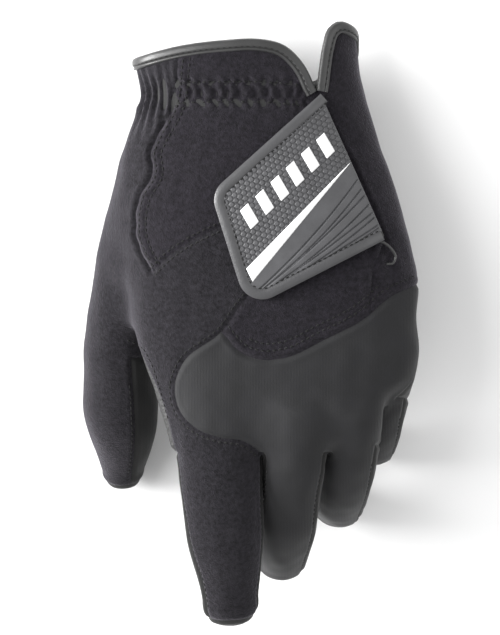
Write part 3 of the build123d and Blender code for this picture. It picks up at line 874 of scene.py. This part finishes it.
def attach(obj, stall_name=None):
    """Ride on the hand, or, for a stall's piece, stay where it is with its transform baked."""
    if stall_name is None:
        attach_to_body(obj, "hand")
        return
    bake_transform(obj)


skin = parted_skin()
normals = vertex_normals(skin.points, skin.triangles)
seams = seam_distance(skin)
outer = skin.points + normals * relief(skin.points, seams)[:, None]
outer_normals = vertex_normals(outer, skin.triangles)
for number, panel_name in enumerate(skin.names):
    mine = skin.triangles[skin.labels == number]
    if len(mine) == 0:
        continue
    finish, slot_name = PANEL_FINISH.get(panel_name, SIDE_FINISH)
    panel = shell(panel_name + "_skin", outer, outer_normals, mine, finish)
    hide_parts(panel_name)
    stall_name = panel_name.split("_")[0] if not panel_name.endswith("_panel") else None
    attach(panel, stall_name)


# ---------------------------------------------------------------------------------------------------
# Heights of the hand's back and palm, and plates that follow them
# ---------------------------------------------------------------------------------------------------
def tube_height(u, v, side=1):
    """Height w of the palm's tube on its back (side 1) or its palm (side -1)."""
    u0, w0, wide, high = (smooth_value(v, PALM[:, 0], PALM[:, i]) for i in (1, 2, 3, 4))
    x = np.clip(np.abs(u - u0) / wide, 0, 0.98)
    return w0 + side * high * (1 - x**PALM_POWER) ** (1 / PALM_POWER)


def inset_corners(corners, margins):
    """Corners of a polygon whose sides are moved inwards, one margin a side."""
    corners = np.array(corners, float)
    count = len(corners)
    spans = np.roll(corners, -1, axis=0) - corners
    turn = np.sign(sum(np.cross(spans[i - 1], spans[i]) for i in range(count)))
    lines = []
    for i in range(count):
        span = corners[(i + 1) % count] - corners[i]
        span /= np.linalg.norm(span)
        inward = turn * np.array([-span[1], span[0]])
        lines.append((corners[i] + inward * margins[i], span))
    moved = []
    for i in range(count):
        (p, d), (q, e) = lines[i - 1], lines[i]
        t = np.cross(q - p, e) / np.cross(d, e)
        moved.append(p + d * t)
    return np.array(moved)


def rounded(corners, radii, closed=True, step=0.5):
    """Outline with its corners turned into arcs."""
    corners = np.array(corners, float)
    count = len(corners)
    outline = []
    for i, radius in enumerate(radii):
        corner = corners[i]
        if radius == 0 or (not closed and i in (0, count - 1)):
            outline.append(corner)
            continue
        before, after = corners[i - 1] - corner, corners[(i + 1) % count] - corner
        before, after = before / np.linalg.norm(before), after / np.linalg.norm(after)
        half = math.acos(np.clip(before @ after, -1, 1)) / 2
        reach = radius / math.tan(half)
        centre = corner + (before + after) / np.linalg.norm(before + after) * radius / math.sin(half)
        first, last = corner + before * reach - centre, corner + after * reach - centre
        start, sweep = math.atan2(first[1], first[0]), math.atan2(np.cross(first, last), first @ last)
        for t in np.linspace(0, 1, max(3, int(abs(sweep) * radius / step))):
            angle = start + sweep * t
            outline.append(centre + radius * np.array([math.cos(angle), math.sin(angle)]))
    return np.array(outline)


def outline_depth(flat, outline):
    """Distance inside a closed outline, below 0 outside."""
    distance, _ = curve_distance(flat, np.concatenate([outline, outline[:1]]))
    return np.where(inside_outline(flat, outline), distance, -distance)


def plate(name, outline, low, high, material, body, node, step=0.4, side=1):
    """A plate that follows the hand: low and high give its faces' heights over the smooth skin."""
    outline = np.array(outline, float)
    (u0, v0), (u1, v1) = outline.min(0) - step, outline.max(0) + step
    us, vs = np.arange(u0, u1 + step, step), np.arange(v0, v1 + step, step)
    grid = np.stack(np.meshgrid(us, vs, indexing="ij"), -1).reshape(-1, 2)
    number = np.arange(len(grid)).reshape(len(us), len(vs))
    a, b = number[:-1, :-1].ravel(), number[1:, :-1].ravel()
    c, d = number[1:, 1:].ravel(), number[:-1, 1:].ravel()
    triangles = np.concatenate([np.stack([a, b, c], 1), np.stack([a, c, d], 1)])
    labels = np.zeros(len(triangles), int)
    flat, triangles, _, sides = cut(grid, triangles, labels, outline_depth(grid, outline))
    triangles = triangles[sides]
    used, local = np.unique(triangles, return_inverse=True)
    local = local.reshape(-1, 3)
    flat = flat[used]
    depth = np.maximum(outline_depth(flat, outline), 0)
    base = tube_height(flat[:, 0], flat[:, 1], side)
    tops = base + side * (high(flat, depth) if callable(high) else high)
    bottoms = base + side * (low(flat, depth) if callable(low) else low)
    rim = boundary_edges(local)
    count = len(used)
    walls = np.stack([rim[:, 1], rim[:, 0], rim[:, 0] + count, rim[:, 1] + count], 1)
    faces = list(local) + list(local[:, ::-1] + count) + list(walls)
    if side < 0:
        faces = [face[::-1] for face in faces]
    vertices = np.concatenate([np.column_stack([flat, tops]), np.column_stack([flat, bottoms])])
    obj = add_mesh(name, to_row(vertices), faces, material)
    obj.data.set_sharp_from_angle(angle=math.radians(50))
    finish_piece(obj, body, node)
    return obj


def finish_piece(obj, body, node=None):
    """Attach a piece to the body it rides on, and hide the CAD solid it stands for."""
    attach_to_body(obj, body)
    if node:
        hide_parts(node)


def sweep(name, path, inward, outward, profile, material, body, slot_name, node=None, closed=False):
    """A profile (x inwards, z outwards) carried along a path in the hand frame."""
    count, ring = len(path), len(profile)
    vertices = (
        path[:, None] + inward[:, None] * profile[None, :, :1] + outward[:, None] * profile[None, :, 1:]
    ).reshape(-1, 3)
    faces = []
    for i in range(count if closed else count - 1):
        j = (i + 1) % count
        for k in range(ring):
            m = (k + 1) % ring
            faces.append((i * ring + k, i * ring + m, j * ring + m, j * ring + k))
    if not closed:
        faces.append(tuple(range(ring))[::-1])
        faces.append(tuple((count - 1) * ring + k for k in range(ring)))
    obj = add_mesh(name, to_row(vertices), faces, material)
    fix_normals(obj)
    obj.data.set_sharp_from_angle(angle=math.radians(60))
    finish_piece(obj, body, node)
    return obj


def fix_normals(obj):
    """Turn a closed mesh's faces outwards."""
    mesh = bmesh.new()
    mesh.from_mesh(obj.data)
    bmesh.ops.recalc_face_normals(mesh, faces=mesh.faces)
    mesh.to_mesh(obj.data)
    mesh.free()


STITCH_LENGTH, STITCH_PITCH, STITCH_RADIUS = 1.5, 2.2, 0.3


def stitches(name, path, outward, body, stall_name=None, pitch=STITCH_PITCH, radius=STITCH_RADIUS):
    """A row of thread capsules along a path in the hand frame."""
    travel = np.concatenate([[0], np.cumsum(np.linalg.norm(np.diff(path, axis=0), axis=1))])
    length = pitch * STITCH_LENGTH / STITCH_PITCH
    rings = [(-0.5, 0.0), (-0.42, 0.75), (-0.2, 1.0), (0.2, 1.0), (0.42, 0.75), (0.5, 0.0)]
    corners = [(math.cos(a), math.sin(a)) for a in np.arange(6) * math.pi / 3]
    vertices, faces = [], []
    for middle in np.arange(pitch / 2, travel[-1] - pitch / 2, pitch):
        place, ahead, up = (
            np.array([np.interp(at, travel, values[:, i]) for i in range(3)])
            for at, values in ((middle, path), (middle + 0.3, path), (middle, outward))
        )
        ahead = ahead - place
        ahead /= np.linalg.norm(ahead)
        up = up - ahead * (up @ ahead)
        up /= np.linalg.norm(up)
        across = np.cross(ahead, up)
        start = len(vertices)
        for along, wide in rings:
            sink = -0.35 * (abs(along) * 2) ** 3 * radius * 2
            for x, y in corners:
                round_it = (across * x + up * y) * radius * wide
                vertices.append(place + ahead * along * length + round_it + up * sink)
        for i in range(len(rings) - 1):
            for k in range(6):
                m = (k + 1) % 6
                near, far = start + i * 6, start + i * 6 + 6
                faces.append((near + k, near + m, far + m, far + k))
    obj = add_mesh(name, to_row(np.array(vertices)), faces, THREAD)
    if stall_name:
        attach(obj, stall_name)
    else:
        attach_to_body(obj, body)
    return obj


surface_tree = BVHTree.FromPolygons(outer.tolist(), skin.triangles.tolist())


def on_back(flat, lift=0.0):
    """Points of the finished back surface over (u, v) points, and its normals."""
    places, ups = [], []
    for u, v in flat:
        hit, normal, _, _ = surface_tree.ray_cast(Vector((u, v, 60)), Vector((0, 0, -1)))
        if hit is None:
            continue
        normal = Vector(normal)
        if normal.z < 0:
            normal = -normal
        places.append(np.array(hit) + np.array(normal) * lift)
        ups.append(np.array(normal))
    return np.array(places), np.array(ups)


def back_row(name, curve, offset, pitch=STITCH_PITCH, radius=STITCH_RADIUS):
    """A stitch row beside a seam on the back of the hand."""
    path, ups = on_back(beside(curve, offset), 0.05)
    smooth_along(ups, 2)
    stitches(name, path, ups, "hand", pitch=pitch, radius=radius)


def smooth_along(values, rounds, closed=False):
    """Even out a run of values, keeping its ends."""
    for _ in range(rounds):
        if closed:
            values[:] = (np.roll(values, 1, axis=0) + 2 * values + np.roll(values, -1, axis=0)) / 4
        else:
            values[1:-1] = (values[:-2] + 2 * values[1:-1] + values[2:]) / 4


for number, (row, shift) in enumerate(STITCH_ROWS):
    back_row(f"back_stitches_{number}", row, shift)
back_row("thumb_web_stitches", [(-46, 36), (-40, 33), (-36, 26), (-33.5, 18), (-30, 6)], 0.0)
for number, v in enumerate(ELASTIC_ROWS):
    elastic_line = [(-27, v), (-10, v + 0.4), (6, v + 0.2), (20, v - 1)]
    back_row(f"elastic_stitches_{number}", elastic_line, 0.0, pitch=2.1)


def stall_row(name, stall_name, seam_number, shift, start, end):
    """A stitch row beside a lengthwise seam of a stall."""
    stall = STALLS[stall_name]
    path, ups = [], []
    for along in np.arange(start, end, 1.0):
        angle = math.radians(seam_angles(stall_name, np.array([along]))[seam_number][0])
        wide, high = (float(size) for size in stall_sizes(np.array(along), stall))
        turn = angle + shift / wide
        middle = stall_point(stall, along)
        toward = stall_point(stall, along, math.cos(turn) * wide, math.sin(turn) * high)
        hit, normal, _, _ = surface_tree.find_nearest(Vector(toward))
        away = np.array(hit) - middle
        normal = np.array(normal) * np.sign(np.array(normal) @ away)
        path.append(np.array(hit) + normal * 0.05)
        ups.append(normal)
    ups = np.array(ups)
    smooth_along(ups, 3)
    stitches(name, np.array(path), ups, None, stall_name)


stall_row("index_stitches_radial", "index", 1, -1.3, 8, 66)
stall_row("index_stitches_ulnar", "index", 0, 1.3, 10, 64)
for stall_name in ("middle", "ring", "little"):
    stall_row(stall_name + "_stitches_radial", stall_name, 1, -1.2, 10, STALLS[stall_name]["length"] - 9)
    stall_row(stall_name + "_stitches_ulnar", stall_name, 0, 1.2, 10, STALLS[stall_name]["length"] - 9)
stall_row("thumb_stitches_inner", "thumb", 0, 1.3, 6, 48)
stall_row("thumb_stitches_outer", "thumb", 1, -1.3, 6, 48)

# ---------------------------------------------------------------------------------------------------
# Cuff binding: a rolled strip round the skin's edge
# ---------------------------------------------------------------------------------------------------
def edge_loop(triangles):
    """The open edge of the skin, as one closed chain of vertices."""
    edges = boundary_edges(triangles)
    following = {int(a): int(b) for a, b in edges}
    best = []
    left = set(following)
    while left:
        start = left.pop()
        chain = [start]
        while following.get(chain[-1]) in left:
            chain.append(following[chain[-1]])
            left.discard(chain[-1])
        best = max(best, chain, key=len)
    return np.array(best)


def evened(values, travel, step):
    """Values at even steps along a closed chain."""
    even = np.arange(0, travel[-1], step)
    return np.stack([np.interp(even, travel, np.append(values[:, i], values[0, i])) for i in range(3)], 1)


def roll_profile(width, thick, groove, below=1.3):
    """Closed section of a folded binding, with a stitch groove near its inner edge."""
    top = []
    for x in np.linspace(0, 1, 15):
        height = (1 - abs(2 * x - 1) ** 3.0) ** 0.5
        top.append((x * width, thick * height - groove * math.exp(-(((x - 0.72) / 0.07) ** 2))))
    bottom = [(width * 0.9, -below * 0.8), (width * 0.5, -below), (width * 0.1, -below * 0.8)]
    return np.array([(x - width * 0.04, z) for x, z in top + bottom])


loop = edge_loop(skin.triangles)
chain, chain_up = skin.points[loop].copy(), normals[loop].copy()
smooth_along(chain, 6, True)
smooth_along(chain_up, 12, True)
steps = np.linalg.norm(np.diff(np.concatenate([chain, chain[:1]]), axis=0), axis=1)
travel = np.concatenate([[0], np.cumsum(steps)])
chain, chain_up = evened(chain, travel, 0.8), evened(chain_up, travel, 0.8)
notch = int(np.argmin(np.linalg.norm(chain - [*SLIT_TOP, 15], axis=1)))
chain, chain_up = np.roll(chain, -notch, axis=0), np.roll(chain_up, -notch, axis=0)
if chain[12, 0] > chain[0, 0]:
    chain, chain_up = np.roll(chain[::-1], 1, axis=0), np.roll(chain_up[::-1], 1, axis=0)
# from the notch the chain runs over the back to the thumb side, round the palm, and up the ulnar piece
left_end = int(np.argmin(chain[:, 0]))
right_end = int(np.argmax(chain[:, 0]))
runs = {
    "cuff_binding_back": np.arange(0, left_end + 1),
    "cuff_binding_palm": np.arange(left_end, right_end + 1),
    "cuff_binding_ulnar": np.append(np.arange(right_end, len(chain)), 0),
}
BINDING_PROFILE = roll_profile(4.6, 1.25, 0.5)
for run_name, run in runs.items():
    path, up = chain[run].copy(), chain_up[run].copy()
    smooth_along(path, 8)
    ahead = np.gradient(path, axis=0)
    ahead /= np.linalg.norm(ahead, axis=1, keepdims=True)
    smooth_along(ahead, 4)
    up -= ahead * (up * ahead).sum(1, keepdims=True)
    up /= np.linalg.norm(up, axis=1, keepdims=True)
    inward = np.cross(up, ahead)
    centre_way = -np.sign((inward @ np.array([0, 1, 0])).mean())
    if run_name == "cuff_binding_ulnar":
        middle = len(run) // 2
        centre_way = np.sign(inward[middle] @ np.array([0.4, -1, 0]))
    inward *= centre_way
    sweep(run_name + "_roll", path, inward, up, BINDING_PROFILE, BINDING, "hand", "binding_leather", run_name)
    row = path + inward * 4.6 * 0.60 + up * 1.0
    stitches(run_name + "_stitches", row, up, "hand", radius=0.2)

# ---------------------------------------------------------------------------------------------------
# Tab: leather base, moulded badge with cells and rays, white inlays, rolled binding
# ---------------------------------------------------------------------------------------------------
TAB_CORNERS = [(50, 73), (26, 126.5), (-14.5, 90), (-0.9, 47)]
TAB_MARGINS = (0, 1, 1, 1)       # which sides are bound: not the root
TAB_CORNER = 9.0
TAB_BINDING = 3.8
STRIPE = [(-1.4, 62.1), (38.0, 102.4), (1.0, 57.4)]
MARK_START, MARK_STEP, MARK_COUNT = (0.3, 76.6), (5.6, 5.2), 6
MARK_SHAPE = [(0, 0), (3.0, 2.8), (-1.0, 9.6), (-4.0, 6.8)]
CELL = 2.1                       # from one hexagonal cell to the next
RAY_SOURCE = (-3.5, 48.5)
RAYS = [(45, 7), (41.5, 9), (40, 6), (36, 9), (34, 5), (31.5, 8), (29.5, 4), (28, 6)]   # angle and bow


def tab_outline(inset):
    """The tab's outline moved inwards on its bound sides."""
    corners = inset_corners(TAB_CORNERS, [inset * margin for margin in TAB_MARGINS])
    radius = max(TAB_CORNER - inset, 1.5)
    return rounded(corners, [0, 0, radius, radius])


def cell_depth(flat):
    """Distance inside the nearest hexagonal cell's border."""
    best = np.full(len(flat), np.inf)
    depth = np.zeros(len(flat))
    rise = CELL * math.sqrt(3)
    turn = math.radians(43)
    spun = flat @ np.array([[math.cos(turn), -math.sin(turn)], [math.sin(turn), math.cos(turn)]])
    for shift in ((0, 0), (CELL / 2, rise / 2)):
        local = spun - shift
        local[:, 0] -= CELL * np.round(local[:, 0] / CELL)
        local[:, 1] -= rise * np.round(local[:, 1] / rise)
        away = np.hypot(local[:, 0], local[:, 1])
        inside = np.full(len(flat), np.inf)
        for angle in (0, 60, 120):
            axis = np.array([math.cos(math.radians(angle)), math.sin(math.radians(angle))])
            inside = np.minimum(inside, CELL / 2 - np.abs(local @ axis))
        closer = away < best
        best, depth = np.where(closer, away, best), np.where(closer, inside, depth)
    return depth


def badge_height(flat, depth):
    """Cells above the stripe, fanned grooves below it."""
    start, end = np.array(STRIPE[2]), np.array(STRIPE[1])
    span = end - start
    offset = flat - start
    above = span[0] * offset[:, 1] - span[1] * offset[:, 0] > 0
    cells = 0.62 + 0.42 * step_up(cell_depth(flat), 0.10, 0.34)
    reach = flat - np.array(RAY_SOURCE)
    angle = np.degrees(np.arctan2(reach[:, 1], reach[:, 0]))
    distance = np.hypot(reach[:, 0], reach[:, 1])
    grooves = np.zeros(len(flat))
    for number, (ray, curl) in enumerate(RAYS):
        bowed = ray + curl * (distance / 60 - 0.75)
        across = np.radians(angle - bowed) * distance
        begun = step_up(distance, 6 + 3 * number, 9 + 3 * number)
        grooves = np.maximum(grooves, bump(across, 0, 0.26) * begun)
    rays = 1.05 - 0.55 * grooves
    height = np.where(above, cells, rays)
    rim = step_up(depth, 0.0, 0.5)
    return 2.6 + height * (0.5 + 0.5 * rim) * 0.9


def pillow(top, edge=0.35):
    """Height of a flat plate whose edge is rounded."""
    return lambda flat, depth: top - 0.3 * (1 - step_up(depth, 0, edge))


plate("tab_leather_base", tab_outline(1.0), 1.7, 2.6, TAB_LEATHER, "tab", "tab_base", 0.8)
plate("tab_badge_relief", tab_outline(TAB_BINDING - 0.5), 2.55, badge_height, BADGE, "tab",
      "tab_badge", 0.2)
plate("tab_white_stripe", STRIPE, 2.7, pillow(3.85), WHITE, "tab", "tab_stripe", 0.3)
for number in range(MARK_COUNT):
    start = np.array(MARK_START) + number * np.array(MARK_STEP)
    mark = plate(
        f"tab_white_mark_{number}", [start + corner for corner in np.array(MARK_SHAPE)], 2.7, pillow(3.85),
        WHITE, "tab", None, 0.3,
    )
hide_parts("tab_marks")

rim_corners = [TAB_CORNERS[1], TAB_CORNERS[2], TAB_CORNERS[3], TAB_CORNERS[0]]
rim_line = rounded(rim_corners, [0, TAB_CORNER, TAB_CORNER, 0], closed=False)
travel = np.concatenate([[0], np.cumsum(np.linalg.norm(np.diff(rim_line, axis=0), axis=1))])
even = np.arange(0, travel[-1], 0.6)
rim_line = np.stack([np.interp(even, travel, rim_line[:, i]) for i in range(2)], 1)
ahead = np.gradient(rim_line, axis=0)
ahead /= np.linalg.norm(ahead, axis=1, keepdims=True)
inward_flat = np.stack([-ahead[:, 1], ahead[:, 0]], 1)
inward_flat *= np.sign(((np.array([12, 85]) - rim_line) * inward_flat).sum(1).mean())
smooth_along(inward_flat, 3)


def rim_points(x, z):
    """Points of the tab's bound rim at a distance inwards and a height over the skin."""
    flat = rim_line + inward_flat * x
    return np.column_stack([flat, tube_height(flat[:, 0], flat[:, 1]) + z])


def rim_sweep(name, profile, material, node):
    """The tab's binding, following the hand."""
    rows = [rim_points(x, z) for x, z in profile]
    vertices = np.stack(rows, 1).reshape(-1, 3)
    ring, count = len(profile), len(rim_line)
    faces = [
        (i * ring + k, i * ring + (k + 1) % ring, (i + 1) * ring + (k + 1) % ring, (i + 1) * ring + k)
        for i in range(count - 1) for k in range(ring)
    ]
    faces += [tuple(range(ring))[::-1], tuple((count - 1) * ring + k for k in range(ring))]
    obj = add_mesh(name, to_row(vertices), faces, material)
    fix_normals(obj)
    obj.data.set_sharp_from_angle(angle=math.radians(60))
    finish_piece(obj, "tab", node)


rim_top = [
    (x * TAB_BINDING, 2.35 + 1.45 * max(0, 1 - abs(2 * x * 0.8 - 0.8) ** 2.6) ** 0.5)
    for x in np.linspace(0, 1, 11)
]
rim_section = rim_top + [(TAB_BINDING, 2.65), (TAB_BINDING * 0.6, 1.62), (0.9, 1.6), (0.2, 1.85)]
rim_sweep("tab_rolled_binding", rim_section, TAB_BINDING_PAINTED_LIGHT, "tab_binding")
rim_up = np.tile([0.0, 0.0, 1.0], (len(rim_line), 1))
stitches("tab_binding_stitches", rim_points(3.95, 3.45), rim_up, "tab", radius=0.26)

HOOK_ZONE = [(0, 86), (8, 66), (36, 80), (26, 104)]
LOOP_ZONE = [(-2, 84), (8, 62), (38, 78), (26, 108)]


def pile(base, depth_of, seed):
    """Height of a napped patch."""
    def height(flat, depth):
        points = np.column_stack([flat, np.zeros(len(flat))])
        return base + depth_of * waves(points, 30, 1.4, seed) - 0.25 * (1 - step_up(depth, 0, 0.6))
    return height


plate("tab_hook_patch", HOOK_ZONE, pile(1.15, 0.03, 11), 1.72, PILE, "tab",
      "hook_patch", 0.5)
plate("back_loop_patch", LOOP_ZONE, -0.5, pile(0.65, 0.05, 12), PILE, "hand",
      "loop_patch", 0.5)

# Pull loop at the tab's root
tail_line = dense([(46.5, 72.6), (49.5, 71.6), (52.0, 69.5), (53.6, 66.6), (52.6, 64.2), (50.4, 63.9)], 0.5)
tail_points = np.column_stack([tail_line, tube_height(tail_line[:, 0], tail_line[:, 1]) + 1.5])
tail_points[:, 2] += 1.0 * np.sin(np.linspace(0, math.pi, len(tail_line)))
tail_ahead = np.gradient(tail_points, axis=0)
tail_ahead /= np.linalg.norm(tail_ahead, axis=1, keepdims=True)
tail_side = np.cross(tail_ahead, [0, 0, 1.0])
tail_side /= np.linalg.norm(tail_side, axis=1, keepdims=True)
tail_section = np.array([(0.5 * math.cos(a), 0.9 * math.sin(a)) for a in np.arange(12) * math.pi / 6])
sweep("pull_loop", tail_points, tail_side, np.cross(tail_side, tail_ahead), tail_section, BINDING, "hand",
      "binding_leather", "binding_tail")

# ---------------------------------------------------------------------------------------------------
# Inside the cuff and on the heel of the palm
# ---------------------------------------------------------------------------------------------------
def gathered(flat, depth):
    """Elastic band, gathered by its stitching."""
    return -THICKNESS - 0.75 + 0.2 * np.cos(2 * math.pi * flat[:, 0] / 2.2)


ELASTIC_ZONE = [(-34, 120), (19, 120), (19, 133), (-34, 133)]
GUSSET_ZONE = [(22, 121), (29, 121), (50, 78), (42, 78)]
LABEL_ZONE = [(-8, 118), (8, 118), (8, 130), (-8, 130)]
HEEL_ZONE = dense([(-18, 130), (-18, 114), (-2, 102), (18, 108), (30, 124), (30, 130)], 1.5)
plate("wrist_elastic_band", ELASTIC_ZONE, gathered, -THICKNESS - 0.35, ELASTIC, "hand",
      "wrist_elastic", 0.6)
plate("slit_gusset_cloth", GUSSET_ZONE, -1.4, -0.9, SIDE_CLOTH, "hand",
      "slit_gusset", 0.6)
plate("size_label_cloth", LABEL_ZONE, -1.3, pillow(-0.9), LABEL, "hand",
      "size_label", 0.5, side=-1)
plate("heel_patch_leather", HEEL_ZONE, -0.4, pillow(0.9, 0.8), PALM_LEATHER, "hand",
      "palm_heel_patch", 0.6, side=-1)

# ---------------------------------------------------------------------------------------------------
# Stage: pale floor, soft light, and a camera square to the back of the hand
# ---------------------------------------------------------------------------------------------------
def look_at(obj, target, up):
    """Point an object's -Z at a target, with its Y towards up."""
    back = (obj.location - target).normalized()
    right = up.cross(back).normalized()
    matrix = obj.matrix_world.copy()
    matrix.col[0][:3], matrix.col[1][:3], matrix.col[2][:3] = right, back.cross(right), back
    obj.rotation_euler = matrix.to_3x3().normalized().to_euler()


def add_area(name, place, target, size, power, colour=(1, 1, 1)):
    """A soft square light."""
    light = bpy.data.lights.new(name, "AREA")
    light.size, light.energy, light.color = size, power, colour
    obj = bpy.data.objects.new(name, light)
    obj.location = place
    bpy.context.scene.collection.objects.link(obj)
    look_at(obj, Vector(target), Vector((0, 1, 0.01)))


hand_up = Vector(AXES[2])
wrist_way = Vector(AXES[1])
IMAGE_HEIGHT = 0.235             # what the picture takes in, from top to bottom, metres
CAMERA_AWAY = 3.0
view_centre = Vector(to_row([0.0, 44.2, 0.0]))
camera_data = bpy.data.cameras.new("camera")
camera_data.sensor_width = 36.0
camera_data.lens = 36.0 * CAMERA_AWAY / IMAGE_HEIGHT
camera = bpy.data.objects.new("camera", camera_data)
camera.location = view_centre + hand_up * CAMERA_AWAY
bpy.context.scene.collection.objects.link(camera)
look_at(camera, view_centre, wrist_way)
bpy.context.scene.camera = camera

floor_material, _, floor_shader = new_material("floor", 0.9)
floor_shader.inputs["Base Color"].default_value = (0.9, 0.9, 0.9, 1)
floor = add_mesh("floor", [(-4, -4, 0), (4, -4, 0), (4, 4, 0), (-4, 4, 0)], [(0, 1, 2, 3)], floor_material)

world = bpy.data.worlds.new("studio")
world.use_nodes = True
world.node_tree.nodes["Background"].inputs["Color"].default_value = (1, 1, 1, 1)
world.node_tree.nodes["Background"].inputs["Strength"].default_value = 0.75
bpy.context.scene.world = world
add_area("key", (-0.7, 0.35, 0.9), view_centre, 0.6, 9.0)
add_area("rim", (-1.0, 0.2, 0.3), view_centre, 0.5, 24.0)
add_area("fill", (0.9, 0.3, 0.8), view_centre, 0.9, 3.0)
bpy.context.scene.view_settings.view_transform = "Standard"
